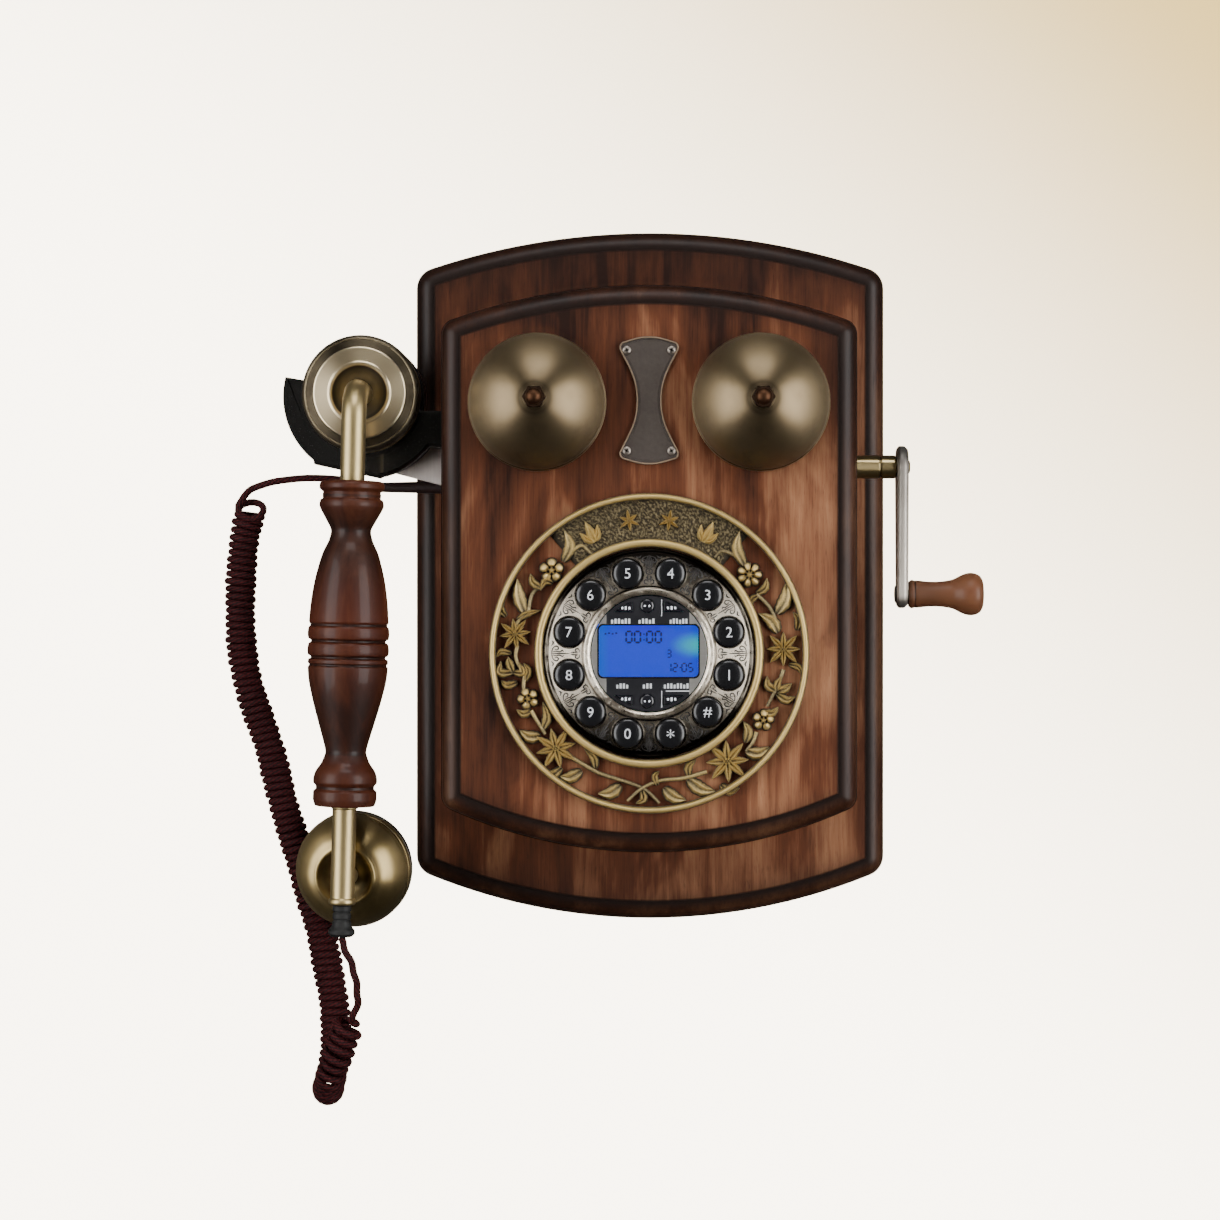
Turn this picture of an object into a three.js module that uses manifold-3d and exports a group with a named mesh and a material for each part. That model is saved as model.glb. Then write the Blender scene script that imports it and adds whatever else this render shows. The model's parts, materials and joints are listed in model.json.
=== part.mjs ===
// Wall crank telephone: a wooden wall set with two gongs, a round keypad, a side crank and a hanging handset.
// Millimetres. +X is to the right, +Y goes into the wall, +Z is up, and the front faces -Y.
// The origin is the centre of the back board's rear face, which lies on the wall.

import * as THREE from 'three';
import { mergeVertices } from 'three/addons/utils/BufferGeometryUtils.js';
import Module from 'manifold-3d';

const wasm = await Module();
wasm.setup();

// ---------------------------------------------------------------- driving dimensions

const GAP = 0.3; // left between pieces that touch
const WELD = 1e-4; // vertices closer than this are one

// Boards: half width, arched top and bottom, and the radius of the rounded corners.
const BACK_BOARD = {
  halfWidth: 104.75, top: 153.7, bottom: -153.9, topArch: 310, bottomArch: 262, corner: 9.5,
};
const FRONT_PANEL = {
  halfWidth: 87.9, top: 121.8, bottom: -117.9, topArch: 246, bottomArch: 205, corner: 6.6,
};
const BACK_THICK = 15;
const CASE_FRONT = 75.7; // distances called front or back here are measured out from the wall
const CASE_INSET = 2.9; // the case stands this far inside the front panel's edge
const CASE_WALL = 9;
const PANEL_BACK = 76;
const PANEL_FRONT = 90;
const CASE_SIDE = FRONT_PANEL.halfWidth - CASE_INSET;
const CASE_INSIDE = CASE_SIDE - CASE_WALL;

// Bells and the striker that rocks between them.
const BELL = { x: 46.9, z: 71.6, radius: 29, height: 28, wall: 1.6, rim: 93, bore: 2.5 };
const STRIKER = { pivotZ: 44, pegX: 23.6, pegRadius: 1.5, back: 63.6, front: 66.2, tip: 97 };

// Dial, centred at x = 0. Heights are above the front panel's face.
const DIAL_Z = -33.7;
const SURROUND = { outer: 67.2, rim: 64.3, seat: 48.2, inner: 44.5, rimHeight: 5, floor: 2 };
const CARTOUCHE_HALF_ANGLE = 40;
const WINDOW_COUNT = 9;
const PLATE = { outer: 44.1, inner: 24.6, opening: 43 };
const KEY = { ring: 34.6, radius: 6.1, hole: 6.4, flange: 6.9, travel: 1.5 };
const KEY_NAMES = ['1', '2', '3', '4', '5', '6', '7', '8', '9', '0', 'star', 'hash'];
const DISC = { radius: 24.2, back: 4.6, front: 6 };
const SCREEN = { width: 41, height: 21, corner: 1.8, x: -0.2, z: 1 };
const WEDGE = { side: 6.4, level: 17.6, radius: 22.5, lead: -0.6 };
const ROUND_BUTTON = { radius: 2.9, x: -0.8, z: 19.9 };

// Crank, turning about an axis along X.
const CRANK = { y: -65, z: 45.8, arm: 54.5, shaft: 5, armBack: 105.9, armFront: 110.6 };
const KNOB = { start: 111, end: 143, bore: 2.9, pin: 2.6 };

// Cradle fork and its lever, turning about an axis along Y.
const FORK = { x: -122.9, outer: 35.3, notch: 36.4, inner: 24, back: 47.3, front: 59 };
const LEVER = { pivotX: -70, pivotZ: 62, bore: 2.8, stud: 2.5, back: 44.5, front: 47 };

// Handset, hanging from the fork and leaning a little.
const LEAN = 1.37; // degrees, top to the right
const HANDSET = { x: -124.73, y: -98 };
const EARPIECE_Z = 76.6;
const EARPIECE_NECK = 21.5;
const MOUTHPIECE = { x: 0.7, z: -126.8, tilt: 5.5, middle: 78 };
const TUBE = 5.15;

// Curly cord.
const CORD_RADIUS = 1.6;
const COIL_RADIUS = 7;
const CORD_EXIT = { x: -85, y: -38, z: 38.2, sleeve: 36 };

// ---------------------------------------------------------------- geometry helpers

const degrees = THREE.MathUtils.degToRad;

// Welds a geometry into one indexed closed surface whose faces point outwards.
function closed(source) {
  const bare = source.clone();
  for (const name of Object.keys(bare.attributes)) {
    if (name !== 'position') bare.deleteAttribute(name);
  }
  const welded = mergeVertices(bare, WELD);
  const index = welded.index.array;
  const kept = [];
  for (let i = 0; i < index.length; i += 3) {
    const [a, b, c] = [index[i], index[i + 1], index[i + 2]];
    if (a !== b && b !== c && a !== c) kept.push(a, b, c);
  }
  const points = welded.attributes.position;
  const corner = [0, 1, 2].map(() => new THREE.Vector3());
  let volume = 0;
  for (let i = 0; i < kept.length; i += 3) {
    corner.forEach((point, k) => point.fromBufferAttribute(points, kept[i + k]));
    volume += corner[0].dot(corner[1].clone().cross(corner[2]));
  }
  if (volume < 0) kept.reverse();
  welded.setIndex(kept);
  return welded;
}

function solidOf(geometry) {
  const welded = closed(geometry);
  const mesh = new wasm.Mesh({
    numProp: 3,
    vertProperties: new Float32Array(welded.attributes.position.array),
    triVerts: new Uint32Array(welded.index.array),
  });
  return new wasm.Manifold(mesh);
}

function geometryOf(solid) {
  const mesh = solid.getMesh();
  const geometry = new THREE.BufferGeometry();
  geometry.setAttribute('position', new THREE.BufferAttribute(mesh.vertProperties, 3));
  geometry.setIndex(new THREE.BufferAttribute(mesh.triVerts, 1));
  return geometry;
}

function cut(base, ...tools) {
  return geometryOf(tools.reduce((left, tool) => left.subtract(solidOf(tool)), solidOf(base)));
}

function joined(first, ...others) {
  return geometryOf(others.reduce((whole, part) => whole.add(solidOf(part)), solidOf(first)));
}

function block([x0, x1], [y0, y1], [z0, z1]) {
  const geometry = new THREE.BoxGeometry(x1 - x0, y1 - y0, z1 - z0);
  return geometry.translate((x0 + x1) / 2, (y0 + y1) / 2, (z0 + z1) / 2);
}

// A round bar along an axis, from one coordinate to another; at gives its place on the other two axes.
function rod(axis, radius, [from, to], at, sides = 16) {
  const geometry = new THREE.CylinderGeometry(radius, radius, to - from, sides);
  const middle = (from + to) / 2;
  if (axis === 'x') return geometry.rotateZ(Math.PI / 2).translate(middle, at[0], at[1]);
  if (axis === 'y') return geometry.translate(at[0], middle, at[1]);
  return geometry.rotateX(Math.PI / 2).translate(at[0], at[1], middle);
}

function lathe(profile, sides) {
  return new THREE.LatheGeometry(profile.map(([r, h]) => new THREE.Vector2(r, h)), sides);
}

// Turned pieces: a profile of [radius, distance] pairs, with the distance out from the wall, right or up.
const turnedOut = (profile, sides) => lathe(profile, sides).rotateX(Math.PI);
const turnedRight = (profile, sides) => lathe(profile, sides).rotateZ(-Math.PI / 2);
const turnedUp = (profile, sides) => lathe(profile, sides).rotateX(Math.PI / 2);

// A flat outline in the front view, extruded from one distance out from the wall to another.
function plate(shape, back, front, curveSegments = 8) {
  const depth = front - back;
  const geometry = new THREE.ExtrudeGeometry(shape, { depth, bevelEnabled: false, curveSegments });
  return geometry.translate(0, 0, back).rotateX(Math.PI / 2);
}

// Points on an arc, the last one left out, because the next arc begins there.
function arc(x, z, radius, start, end, steps) {
  return Array.from({ length: steps }, (_, i) => {
    const angle = start + ((end - start) * i) / steps;
    return new THREE.Vector2(x + radius * Math.cos(angle), z + radius * Math.sin(angle));
  });
}

// The outline of an arched board, moved in by inset, counter-clockwise from the right side.
function boardOutline(board, inset, archSteps = 10, cornerSteps = 3) {
  const radius = Math.max(board.corner - inset, 0.8);
  const x = board.halfWidth - inset - radius;
  const ends = [
    { centre: board.top - board.topArch, arch: board.topArch - inset, sign: 1 },
    { centre: board.bottom + board.bottomArch, arch: board.bottomArch - inset, sign: -1 },
  ];
  const [top, bottom] = ends.map(({ centre, arch, sign }) => {
    const rise = Math.sqrt((arch - radius) ** 2 - x ** 2);
    return { centre, arch, z: centre + sign * rise, angle: Math.atan2(rise, x) };
  });
  const { PI } = Math;
  return [
    ...arc(x, top.z, radius, 0, top.angle, cornerSteps),
    ...arc(0, top.centre, top.arch, top.angle, PI - top.angle, archSteps),
    ...arc(-x, top.z, radius, PI - top.angle, PI, cornerSteps),
    ...arc(-x, bottom.z, radius, PI, PI + bottom.angle, cornerSteps),
    ...arc(0, bottom.centre, bottom.arch, PI + bottom.angle, 2 * PI - bottom.angle, archSteps),
    ...arc(x, bottom.z, radius, 2 * PI - bottom.angle, 2 * PI, cornerSteps),
  ];
}

// A board lofted through levels of [inset, distance out from the wall].
function loftedBoard(board, levels) {
  const rings = levels.map(([inset]) => boardOutline(board, inset));
  const count = rings[0].length;
  const position = rings.flatMap((ring, k) => ring.flatMap(({ x, y }) => [x, -levels[k][1], y]));
  const index = [];
  for (let k = 0; k + 1 < rings.length; k++) {
    for (let i = 0; i < count; i++) {
      const [a, b] = [k * count + i, k * count + ((i + 1) % count)];
      index.push(a, b, b + count, a, b + count, a + count);
    }
  }
  const last = (rings.length - 1) * count;
  for (const [a, b, c] of THREE.ShapeUtils.triangulateShape(rings[0], [])) index.push(c, b, a);
  for (const [a, b, c] of THREE.ShapeUtils.triangulateShape(rings.at(-1), [])) {
    index.push(last + a, last + b, last + c);
  }
  const geometry = new THREE.BufferGeometry();
  geometry.setAttribute('position', new THREE.Float32BufferAttribute(position, 3));
  geometry.setIndex(index);
  return geometry;
}

// The rounded edge of a board: a square side, a quarter round and a small step up to the flat field.
function mouldedLevels(back, front) {
  const [side, width, drop, field] = [7, 7.5, 0.7, 8.4];
  const round = [0, 30, 60, 90].map((angle) => [
    width * (1 - Math.cos(degrees(angle))),
    back + side + (front - drop - back - side) * Math.sin(degrees(angle)),
  ]);
  return [[0, back], ...round, [field, front - drop], [field, front]];
}

function tube(points, radius, steps, sides) {
  const corners = arc(0, 0, radius, 0, 2 * Math.PI, sides);
  const extrudePath = new THREE.CatmullRomCurve3(points.map((point) => new THREE.Vector3(...point)));
  return new THREE.ExtrudeGeometry(new THREE.Shape(corners), { steps, bevelEnabled: false, extrudePath });
}

function roundedRectangle(width, height, radius, x = 0, z = 0) {
  const [right, top] = [width / 2 - radius, height / 2 - radius];
  const quarter = Math.PI / 2;
  return new THREE.Shape([
    ...arc(x + right, z + top, radius, 0, quarter, 3),
    new THREE.Vector2(x + right, z + top + radius),
    ...arc(x - right, z + top, radius, quarter, 2 * quarter, 3),
    new THREE.Vector2(x - right - radius, z + top),
    ...arc(x - right, z - top, radius, 2 * quarter, 3 * quarter, 3),
    new THREE.Vector2(x - right, z - top - radius),
    ...arc(x + right, z - top, radius, 3 * quarter, 4 * quarter, 3),
    new THREE.Vector2(x + right + radius, z - top),
  ]);
}

// ---------------------------------------------------------------- finishes

const FINISHES = {
  walnut: [0x6b3a22, 0.4, 0],
  mahogany: [0x45190f, 0.3, 0],
  brass: [0x9c8a5c, 0.35, 1],
  gold: [0xc9ae66, 0.35, 1],
  nickel: [0xb5aa98, 0.35, 1],
  bronze: [0x4d4640, 0.5, 1],
  steel: [0xa79c94, 0.4, 1],
  blackPlastic: [0x121110, 0.35, 0],
  glossBlack: [0x0b0b0c, 0.15, 0],
  screen: [0x1a5fe0, 0.4, 0],
  glass: [0xbcd6ff, 0.05, 0],
  circuit: [0x1f5b36, 0.6, 0],
  copper: [0xa5562c, 0.4, 1],
  cord: [0x4a1c20, 0.8, 0],
};

const telephone = new THREE.Group();
telephone.name = 'wall_crank_telephone';

function add(name, geometry, finish, parent = telephone) {
  const [color, roughness, metalness] = FINISHES[finish];
  const mesh = new THREE.Mesh(
    closed(geometry),
    new THREE.MeshStandardMaterial({ color, roughness, metalness }),
  );
  mesh.name = name;
  parent.add(mesh);
  return mesh;
}

// ---------------------------------------------------------------- case

const HANGER = { z: 118, halfWidth: 20, halfHeight: 11, thick: 1.6, recess: 2.2, pocket: 9 };
const HANGER_HOLE = { head: 4.4, shank: 2.4, headZ: 113, topZ: 125 };

function backBoard() {
  const { z, halfWidth, halfHeight, recess, pocket } = HANGER;
  const seat = block(
    [-halfWidth - GAP, halfWidth + GAP], [-recess, 1], [z - halfHeight - GAP, z + halfHeight + GAP],
  );
  const deep = block([-7, 7], [-pocket, 1], [z - 10, z + 9.5]);
  return cut(loftedBoard(BACK_BOARD, mouldedLevels(0, BACK_THICK)), seat, deep);
}

// A steel plate let into the board, with a keyhole that drops over a screw in the wall.
function hangerPlate() {
  const { z, halfWidth, halfHeight, thick } = HANGER;
  const { head, shank, headZ, topZ } = HANGER_HOLE;
  const y = [-GAP - thick, -GAP];
  const through = [y[0] - 1, y[1] + 1];
  const body = block([-halfWidth, halfWidth], y, [z - halfHeight, z + halfHeight]);
  return cut(
    body,
    rod('y', head, through, [0, headZ]),
    rod('y', shank, through, [0, topZ], 12),
    block([-shank, shank], through, [headZ, topZ]),
  );
}

const SLOT = { back: 43.5, front: 60.5, low: 50.5, high: 75 };
const JACK = { y: -45, z: -70, halfDepth: 6, halfHeight: 5 };

function caseFrame() {
  const back = BACK_THICK + GAP;
  const outside = loftedBoard(FRONT_PANEL, [[CASE_INSET, back], [CASE_INSET, CASE_FRONT]]);
  const inset = CASE_INSET + CASE_WALL;
  const inside = loftedBoard(FRONT_PANEL, [[inset, back - 1], [inset, CASE_FRONT + 1]]);
  const wall = [CASE_INSIDE - 3, CASE_SIDE + 3];
  const leftWall = [-wall[1], -wall[0]];
  const { y, z, halfDepth, halfHeight } = JACK;
  return cut(
    outside,
    inside,
    rod('x', 7.3, wall, [CRANK.y, CRANK.z]),
    block(leftWall, [-SLOT.front, -SLOT.back], [SLOT.low, SLOT.high]),
    rod('x', 3.5, leftWall, [CORD_EXIT.y, CORD_EXIT.z], 12),
    block(wall, [y - halfDepth - GAP, y + halfDepth + GAP], [z - halfHeight - GAP, z + halfHeight + GAP]),
  );
}

function frontPanel() {
  const through = [-PANEL_FRONT - 1, -PANEL_BACK + 1];
  const { pegX, pegRadius } = STRIKER;
  const tools = [rod('y', PLATE.opening, through, [0, DIAL_Z], 40)];
  for (const side of [-1, 1]) {
    const x = [side * pegX - pegRadius - 1.6, side * pegX + pegRadius + 1.6];
    tools.push(rod('y', BELL.bore, through, [side * BELL.x, BELL.z], 10));
    tools.push(block(x, through, [BELL.z - 3, BELL.z + 3]));
  }
  return cut(loftedBoard(FRONT_PANEL, mouldedLevels(PANEL_BACK, PANEL_FRONT)), ...tools);
}

function lineJack() {
  const { y, z, halfDepth, halfHeight } = JACK;
  const body = block([71, CASE_SIDE + 0.5], [y - halfDepth, y + halfDepth], [z - halfHeight, z + halfHeight]);
  return cut(body, block([74, CASE_SIDE + 2], [y - 4.6, y + 4.6], [z - 3.3, z + 3.3]));
}

// Circuit board on four spacers, with its transformer, capacitors and a chip.
function mainBoard() {
  const spacers = [[-45, -70], [45, -70], [-45, 18], [45, 18]].map(
    ([x, z]) => rod('y', 3, [-21, -BACK_THICK - 0.5], [x, z], 8),
  );
  return joined(
    block([-52, 52], [-22.1, -20.5], [-78, 26]),
    block([-40, -18], [-38, -22], [-66, -46]),
    block([8, 26], [-25, -22], [-30, -10]),
    rod('y', 5, [-34, -22], [36, -50], 12),
    rod('y', 4, [-31, -22], [24, -56], 12),
    ...spacers,
  );
}

add('back_board', backBoard(), 'walnut');
add('hanger_plate', hangerPlate(), 'steel');
add('case_frame', caseFrame(), 'walnut');
add('front_panel', frontPanel(), 'walnut');
add('line_jack', lineJack(), 'blackPlastic');
add('main_board', mainBoard(), 'circuit');

// ---------------------------------------------------------------- bells, striker and name plate

function bellGeometry() {
  const { radius, height, wall, bore, rim } = BELL;
  const outer = [0, 16, 32, 48, 63, 77].map((angle) => degrees(angle));
  const inner = [77, 56, 34, 0].map((angle) => degrees(angle));
  const first = [bore, rim + height];
  const profile = [
    ...outer.map((t) => [radius * Math.cos(t), rim + height * Math.sin(t)]),
    first,
    [bore, rim + height - wall],
    ...inner.map((t) => [(radius - wall) * Math.cos(t), rim + (height - wall) * Math.sin(t)]),
  ];
  return turnedOut([...profile, profile[0]], 24);
}

// A long screw with a hexagonal domed head, holding its bell off the panel.
function bellScrew() {
  const head = BELL.rim + BELL.height + GAP;
  const shank = rod('y', 2.1, [-head - 1, -PANEL_BACK - 1], [0, 0], 10);
  const hexagon = rod('y', 4.9, [-head - 4.6, -head], [0, 0], 6);
  const dome = turnedOut([[0, head + 4], [3.6, head + 4], [3.2, head + 6.2], [1.6, head + 7.6], [0, head + 8]], 12);
  return joined(shank, hexagon, dome);
}

for (const [name, side] of [['left', -1], ['right', 1]]) {
  add(`bell_${name}`, bellGeometry().translate(side * BELL.x, 0, BELL.z), 'brass');
  add(`bell_screw_${name}`, bellScrew().translate(side * BELL.x, 0, BELL.z), 'brass');
}

// The magnet coil stands on the back board, and the striker turns on the end of its core.
function ringerCoil() {
  const { pivotZ, back, front } = STRIKER;
  const start = BACK_THICK + GAP;
  const profile = [
    [0, start], [12, start], [12, start + 3], [8.5, start + 3], [8.5, back - 4], [12, back - 4],
    [12, back - 1.5], [3, back - 1.5], [3, back - GAP], [1.5, back - GAP], [1.5, front + 2], [0, front + 2],
  ];
  return turnedOut(profile, 16).translate(0, 0, pivotZ);
}

// A T-shaped strip whose two pegs reach through the panel into the bells.
function ringerClapper() {
  const { pivotZ, pegX, pegRadius, back, front, tip } = STRIKER;
  const y = [-front, -back];
  const pegs = [-1, 1].map((side) => rod('y', pegRadius, [-tip, -back], [side * pegX, BELL.z], 8));
  const strip = joined(
    rod('y', 4.5, y, [0, pivotZ]),
    block([-2, 2], y, [pivotZ, BELL.z]),
    block([-pegX - 2.2, pegX + 2.2], y, [BELL.z - 2.2, BELL.z + 2.2]),
    ...pegs,
  );
  return cut(strip, rod('y', 1.75, [y[0] - 1, y[1] + 1], [0, pivotZ], 12));
}

add('ringer_coil', ringerCoil(), 'copper');
add('ringer_clapper', ringerClapper(), 'brass');

function namePlate() {
  const [half, height, crown, waist, corner] = [12.6, 24.2, 26.9, 5.35, 2.4];
  const shape = new THREE.Shape();
  shape.moveTo(half, height - corner);
  shape.quadraticCurveTo(half, height, half - corner, height + 0.7);
  shape.quadraticCurveTo(0, crown + 2.1, corner - half, height + 0.7);
  shape.quadraticCurveTo(-half, height, -half, height - corner);
  shape.bezierCurveTo(-9.6, 15, -waist, 10, -waist, 0);
  shape.bezierCurveTo(-waist, -10, -9.6, -15, -half, corner - height);
  shape.quadraticCurveTo(-half, -height, corner - half, -height - 0.7);
  shape.quadraticCurveTo(0, -crown - 2.1, half - corner, -height - 0.7);
  shape.quadraticCurveTo(half, -height, half, corner - height);
  shape.bezierCurveTo(9.6, -15, waist, -10, waist, 0);
  shape.bezierCurveTo(waist, 10, 9.6, 15, half, height - corner);
  return plate(shape, PANEL_FRONT + GAP, PANEL_FRONT + 1.9, 5).translate(0, 0, 72.4);
}

add('name_plate', namePlate(), 'bronze');

// ---------------------------------------------------------------- dial

const above = (height) => PANEL_FRONT + height;

// A sector of a ring in the front view, between two angles in degrees.
function sector(inner, outer, start, end, steps) {
  const back = arc(0, DIAL_Z, inner, degrees(end), degrees(start), steps);
  const edge = arc(0, DIAL_Z, outer, degrees(start), degrees(end), steps);
  const last = (radius, angle) => new THREE.Vector2(
    radius * Math.cos(degrees(angle)), DIAL_Z + radius * Math.sin(degrees(angle)),
  );
  return new THREE.Shape([...edge, last(outer, end), ...back, last(inner, start)]);
}

// The cast ring round the keypad: two rims, a solid cartouche at the top and open windows elsewhere.
function dialSurround() {
  const { outer, rim, seat, inner, rimHeight, floor } = SURROUND;
  const [low, high, level] = [above(GAP), above(rimHeight), above(floor)];
  const profile = [
    [inner, low], [outer, low], [outer, high - 0.8], [outer - 0.8, high], [rim + 0.6, high], [rim, high - 0.6],
    [rim, level], [seat, level], [seat, high - 0.6], [seat - 0.6, high], [inner, high - 0.8], [inner, low],
  ];
  const span = (360 - 2 * CARTOUCHE_HALF_ANGLE) / WINDOW_COUNT;
  const spoke = 8;
  const windows = Array.from({ length: WINDOW_COUNT }, (_, i) => {
    const start = 90 + CARTOUCHE_HALF_ANGLE + i * span + spoke / 2;
    return plate(sector(seat + 1, rim - 1, start, start + span - spoke, 3), low - 1, level + 1);
  });
  return cut(turnedOut(profile, 40).translate(0, 0, DIAL_Z), ...windows);
}

const keyPlace = (i) => {
  const angle = degrees(-15 + 30 * i);
  return [KEY.ring * Math.cos(angle), DIAL_Z + KEY.ring * Math.sin(angle)];
};

// A shallow cone with twelve key holes and a raised bezel round the display.
function keypadPlate() {
  const { outer, inner } = PLATE;
  const profile = [
    [outer, GAP], [outer, 3.4], [42.6, 4], [28, 6.4], [27.2, 7.4], [25.6, 7.4], [inner, 6.6], [inner, 4.4],
    [42, 2.2], [42.8, GAP], [outer, GAP],
  ].map(([r, h]) => [r, above(h)]);
  const holes = KEY_NAMES.map((_, i) => rod('y', KEY.hole, [-above(9), -above(0)], keyPlace(i), 12));
  return cut(turnedOut(profile, 36).translate(0, 0, DIAL_Z), ...holes);
}

function keyGeometry(i) {
  const { radius, flange } = KEY;
  const profile = [
    [0, -1.6], [flange, 0.9], [flange, 1.9], [radius, 1.9], [radius, 6.7], [radius - 1.4, 7.9], [0, 8.6],
  ].map(([r, h]) => [r, above(h)]);
  const [x, z] = keyPlace(i);
  return turnedOut(profile, 12).translate(x, 0, z);
}

// A key beside the display: a corner piece of the disc, cut off by a level and an upright line.
function wedgeShape(side, rise, grow) {
  const inner = WEDGE.side + (side < 0 ? -WEDGE.lead : 0) - grow;
  const level = WEDGE.level - grow;
  const radius = WEDGE.radius + grow;
  const start = Math.asin(level / radius);
  const end = Math.acos(inner / radius);
  const points = [
    new THREE.Vector2(inner, level),
    ...arc(0, 0, radius, start, end, 4),
    new THREE.Vector2(inner, radius * Math.sin(end)),
  ].map(({ x, y }) => new THREE.Vector2(side * x, DIAL_Z + rise * y));
  return new THREE.Shape(side * rise > 0 ? points : points.reverse());
}

const ROWS = [['upper', 1], ['lower', -1]];
const SIDES = [['left', -1], ['right', 1]];

function displayDisc() {
  const { radius, back, front } = DISC;
  const through = [-above(front + 1), -above(back - 1)];
  const { width, height, corner, x, z } = SCREEN;
  const opening = roundedRectangle(width + 0.5, height + 0.5, corner + 0.2, x, DIAL_Z + z);
  const tools = [plate(opening, above(back - 1), above(front + 1))];
  for (const [, rise] of ROWS) {
    tools.push(rod('y', ROUND_BUTTON.radius + 0.25, through, [ROUND_BUTTON.x, DIAL_Z + rise * ROUND_BUTTON.z]));
    for (const [, side] of SIDES) {
      tools.push(plate(wedgeShape(side, rise, 0.25), above(back - 1), above(front + 1)));
    }
  }
  return cut(rod('y', radius, [-above(front), -above(back)], [0, DIAL_Z], 40), ...tools);
}

function roundButton(rise) {
  const profile = [[0, -1], [2.9, -1], [2.9, 6.4], [2.2, 6.9], [0, 7]].map(([r, h]) => [r, above(h)]);
  return turnedOut(profile, 12).translate(ROUND_BUTTON.x, 0, DIAL_Z + rise * ROUND_BUTTON.z);
}

function screenBlock(width, height, back, front) {
  const { corner, x, z } = SCREEN;
  return plate(roundedRectangle(width, height, corner, x, DIAL_Z + z), above(back), above(front));
}

// Round board behind the keys, with a hole for the display's leads.
function keypadBoard() {
  const y = [-above(-3.6), -above(-5.2)];
  return cut(rod('y', 42.4, y, [0, DIAL_Z], 32), rod('y', 6, [y[0] - 1, y[1] + 1], [0, DIAL_Z], 8));
}

add('dial_surround', dialSurround(), 'gold');
add('keypad_plate', keypadPlate(), 'nickel');
add('display_disc', displayDisc(), 'nickel');
add('lcd_window', screenBlock(SCREEN.width, SCREEN.height, 5, 6.2), 'glass');
add('lcd_module', screenBlock(SCREEN.width + 2.4, SCREEN.height + 2.4, 0.6, 3.9), 'screen');
add('keypad_board', keypadBoard(), 'circuit');
KEY_NAMES.forEach((name, i) => add(`key_${name}`, keyGeometry(i), 'glossBlack'));
for (const [row, rise] of ROWS) {
  for (const [sideName, side] of SIDES) {
    add(`button_${row}_${sideName}`, plate(wedgeShape(side, rise, 0), above(-1), above(7)), 'glossBlack');
  }
  add(`button_${row}_middle`, roundButton(rise), 'glossBlack');
}

// ---------------------------------------------------------------- crank

const crankAxis = (geometry) => geometry.translate(0, CRANK.y, CRANK.z);
const knobAxis = (geometry) => geometry.translate(0, CRANK.y, CRANK.z - CRANK.arm);

function crankBush() {
  const bore = CRANK.shaft + 0.25;
  const outside = CASE_SIDE + GAP;
  const profile = [
    [bore, CASE_INSIDE], [7, CASE_INSIDE], [7, outside], [9, outside], [9, outside + 2], [bore, outside + 2],
    [bore, CASE_INSIDE],
  ];
  return turnedRight(profile, 20);
}

// A headed shaft, with a stub that passes through the arm.
function crankShaft() {
  const { shaft, armBack, armFront } = CRANK;
  const head = CASE_INSIDE - GAP;
  const profile = [
    [0, head - 4], [7.5, head - 4], [7.5, head], [shaft, head], [shaft, armBack - GAP], [3.2, armBack - GAP],
    [3.2, armFront + 0.7], [2.4, armFront + 1.2], [0, armFront + 1.2],
  ];
  return turnedRight(profile, 16);
}

// A tapered bar seen from the side, round at both ends; it lies in the plane across the crank axis.
function crankArm() {
  const { arm, armBack, armFront } = CRANK;
  const [wide, narrow] = [9, 6];
  const slope = Math.acos((wide - narrow) / arm);
  const outline = new THREE.Shape([
    ...arc(0, 0, wide, slope - Math.PI / 2, 1.5 * Math.PI - slope, 10),
    ...arc(0, 0, wide, 1.5 * Math.PI - slope, 1.5 * Math.PI - slope + 1e-3, 1),
    ...arc(0, -arm, narrow, 1.5 * Math.PI - slope, 1.5 * Math.PI + slope, 8),
    ...arc(0, -arm, narrow, 1.5 * Math.PI + slope, 1.5 * Math.PI + slope + 1e-3, 1),
  ]);
  const depth = armFront - armBack;
  const bar = new THREE.ExtrudeGeometry(outline, { depth, bevelEnabled: false });
  bar.rotateX(Math.PI / 2).rotateZ(Math.PI / 2).translate(armBack, 0, 0);
  const through = [armBack - 1, armFront + 1];
  return cut(bar, rod('x', 3.5, through, [0, 0], 12), rod('x', KNOB.bore, through, [0, -arm], 12));
}

function knobPin() {
  const { armBack } = CRANK;
  const profile = [
    [0, armBack - 0.85], [3.8, armBack - 0.85], [3.8, armBack - GAP / 2], [KNOB.pin, armBack - GAP / 2],
    [KNOB.pin, KNOB.end - 4.4], [0, KNOB.end - 4.4],
  ];
  return turnedRight(profile, 12);
}

function crankKnob() {
  const { start, end, bore } = KNOB;
  const profile = [
    [bore, start], [5.4, start], [6.2, start + 1.2], [5.9, start + 5], [5.3, start + 9], [5.4, start + 14],
    [6.2, start + 19], [8.4, start + 23], [9.3, start + 26], [9, start + 28.6], [7.9, start + 30.8], [5.6, end],
    [0, end], [0, end - 4], [bore, end - 4], [bore, start],
  ];
  return turnedRight(profile, 16);
}

add('crank_bush', crankAxis(crankBush()), 'brass');
add('crank_shaft', crankAxis(crankShaft()), 'brass');
add('crank_arm', crankAxis(crankArm()), 'steel');
add('knob_pin', knobAxis(knobPin()), 'steel');
add('crank_knob', knobAxis(crankKnob()), 'mahogany');

// ---------------------------------------------------------------- cradle

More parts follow.
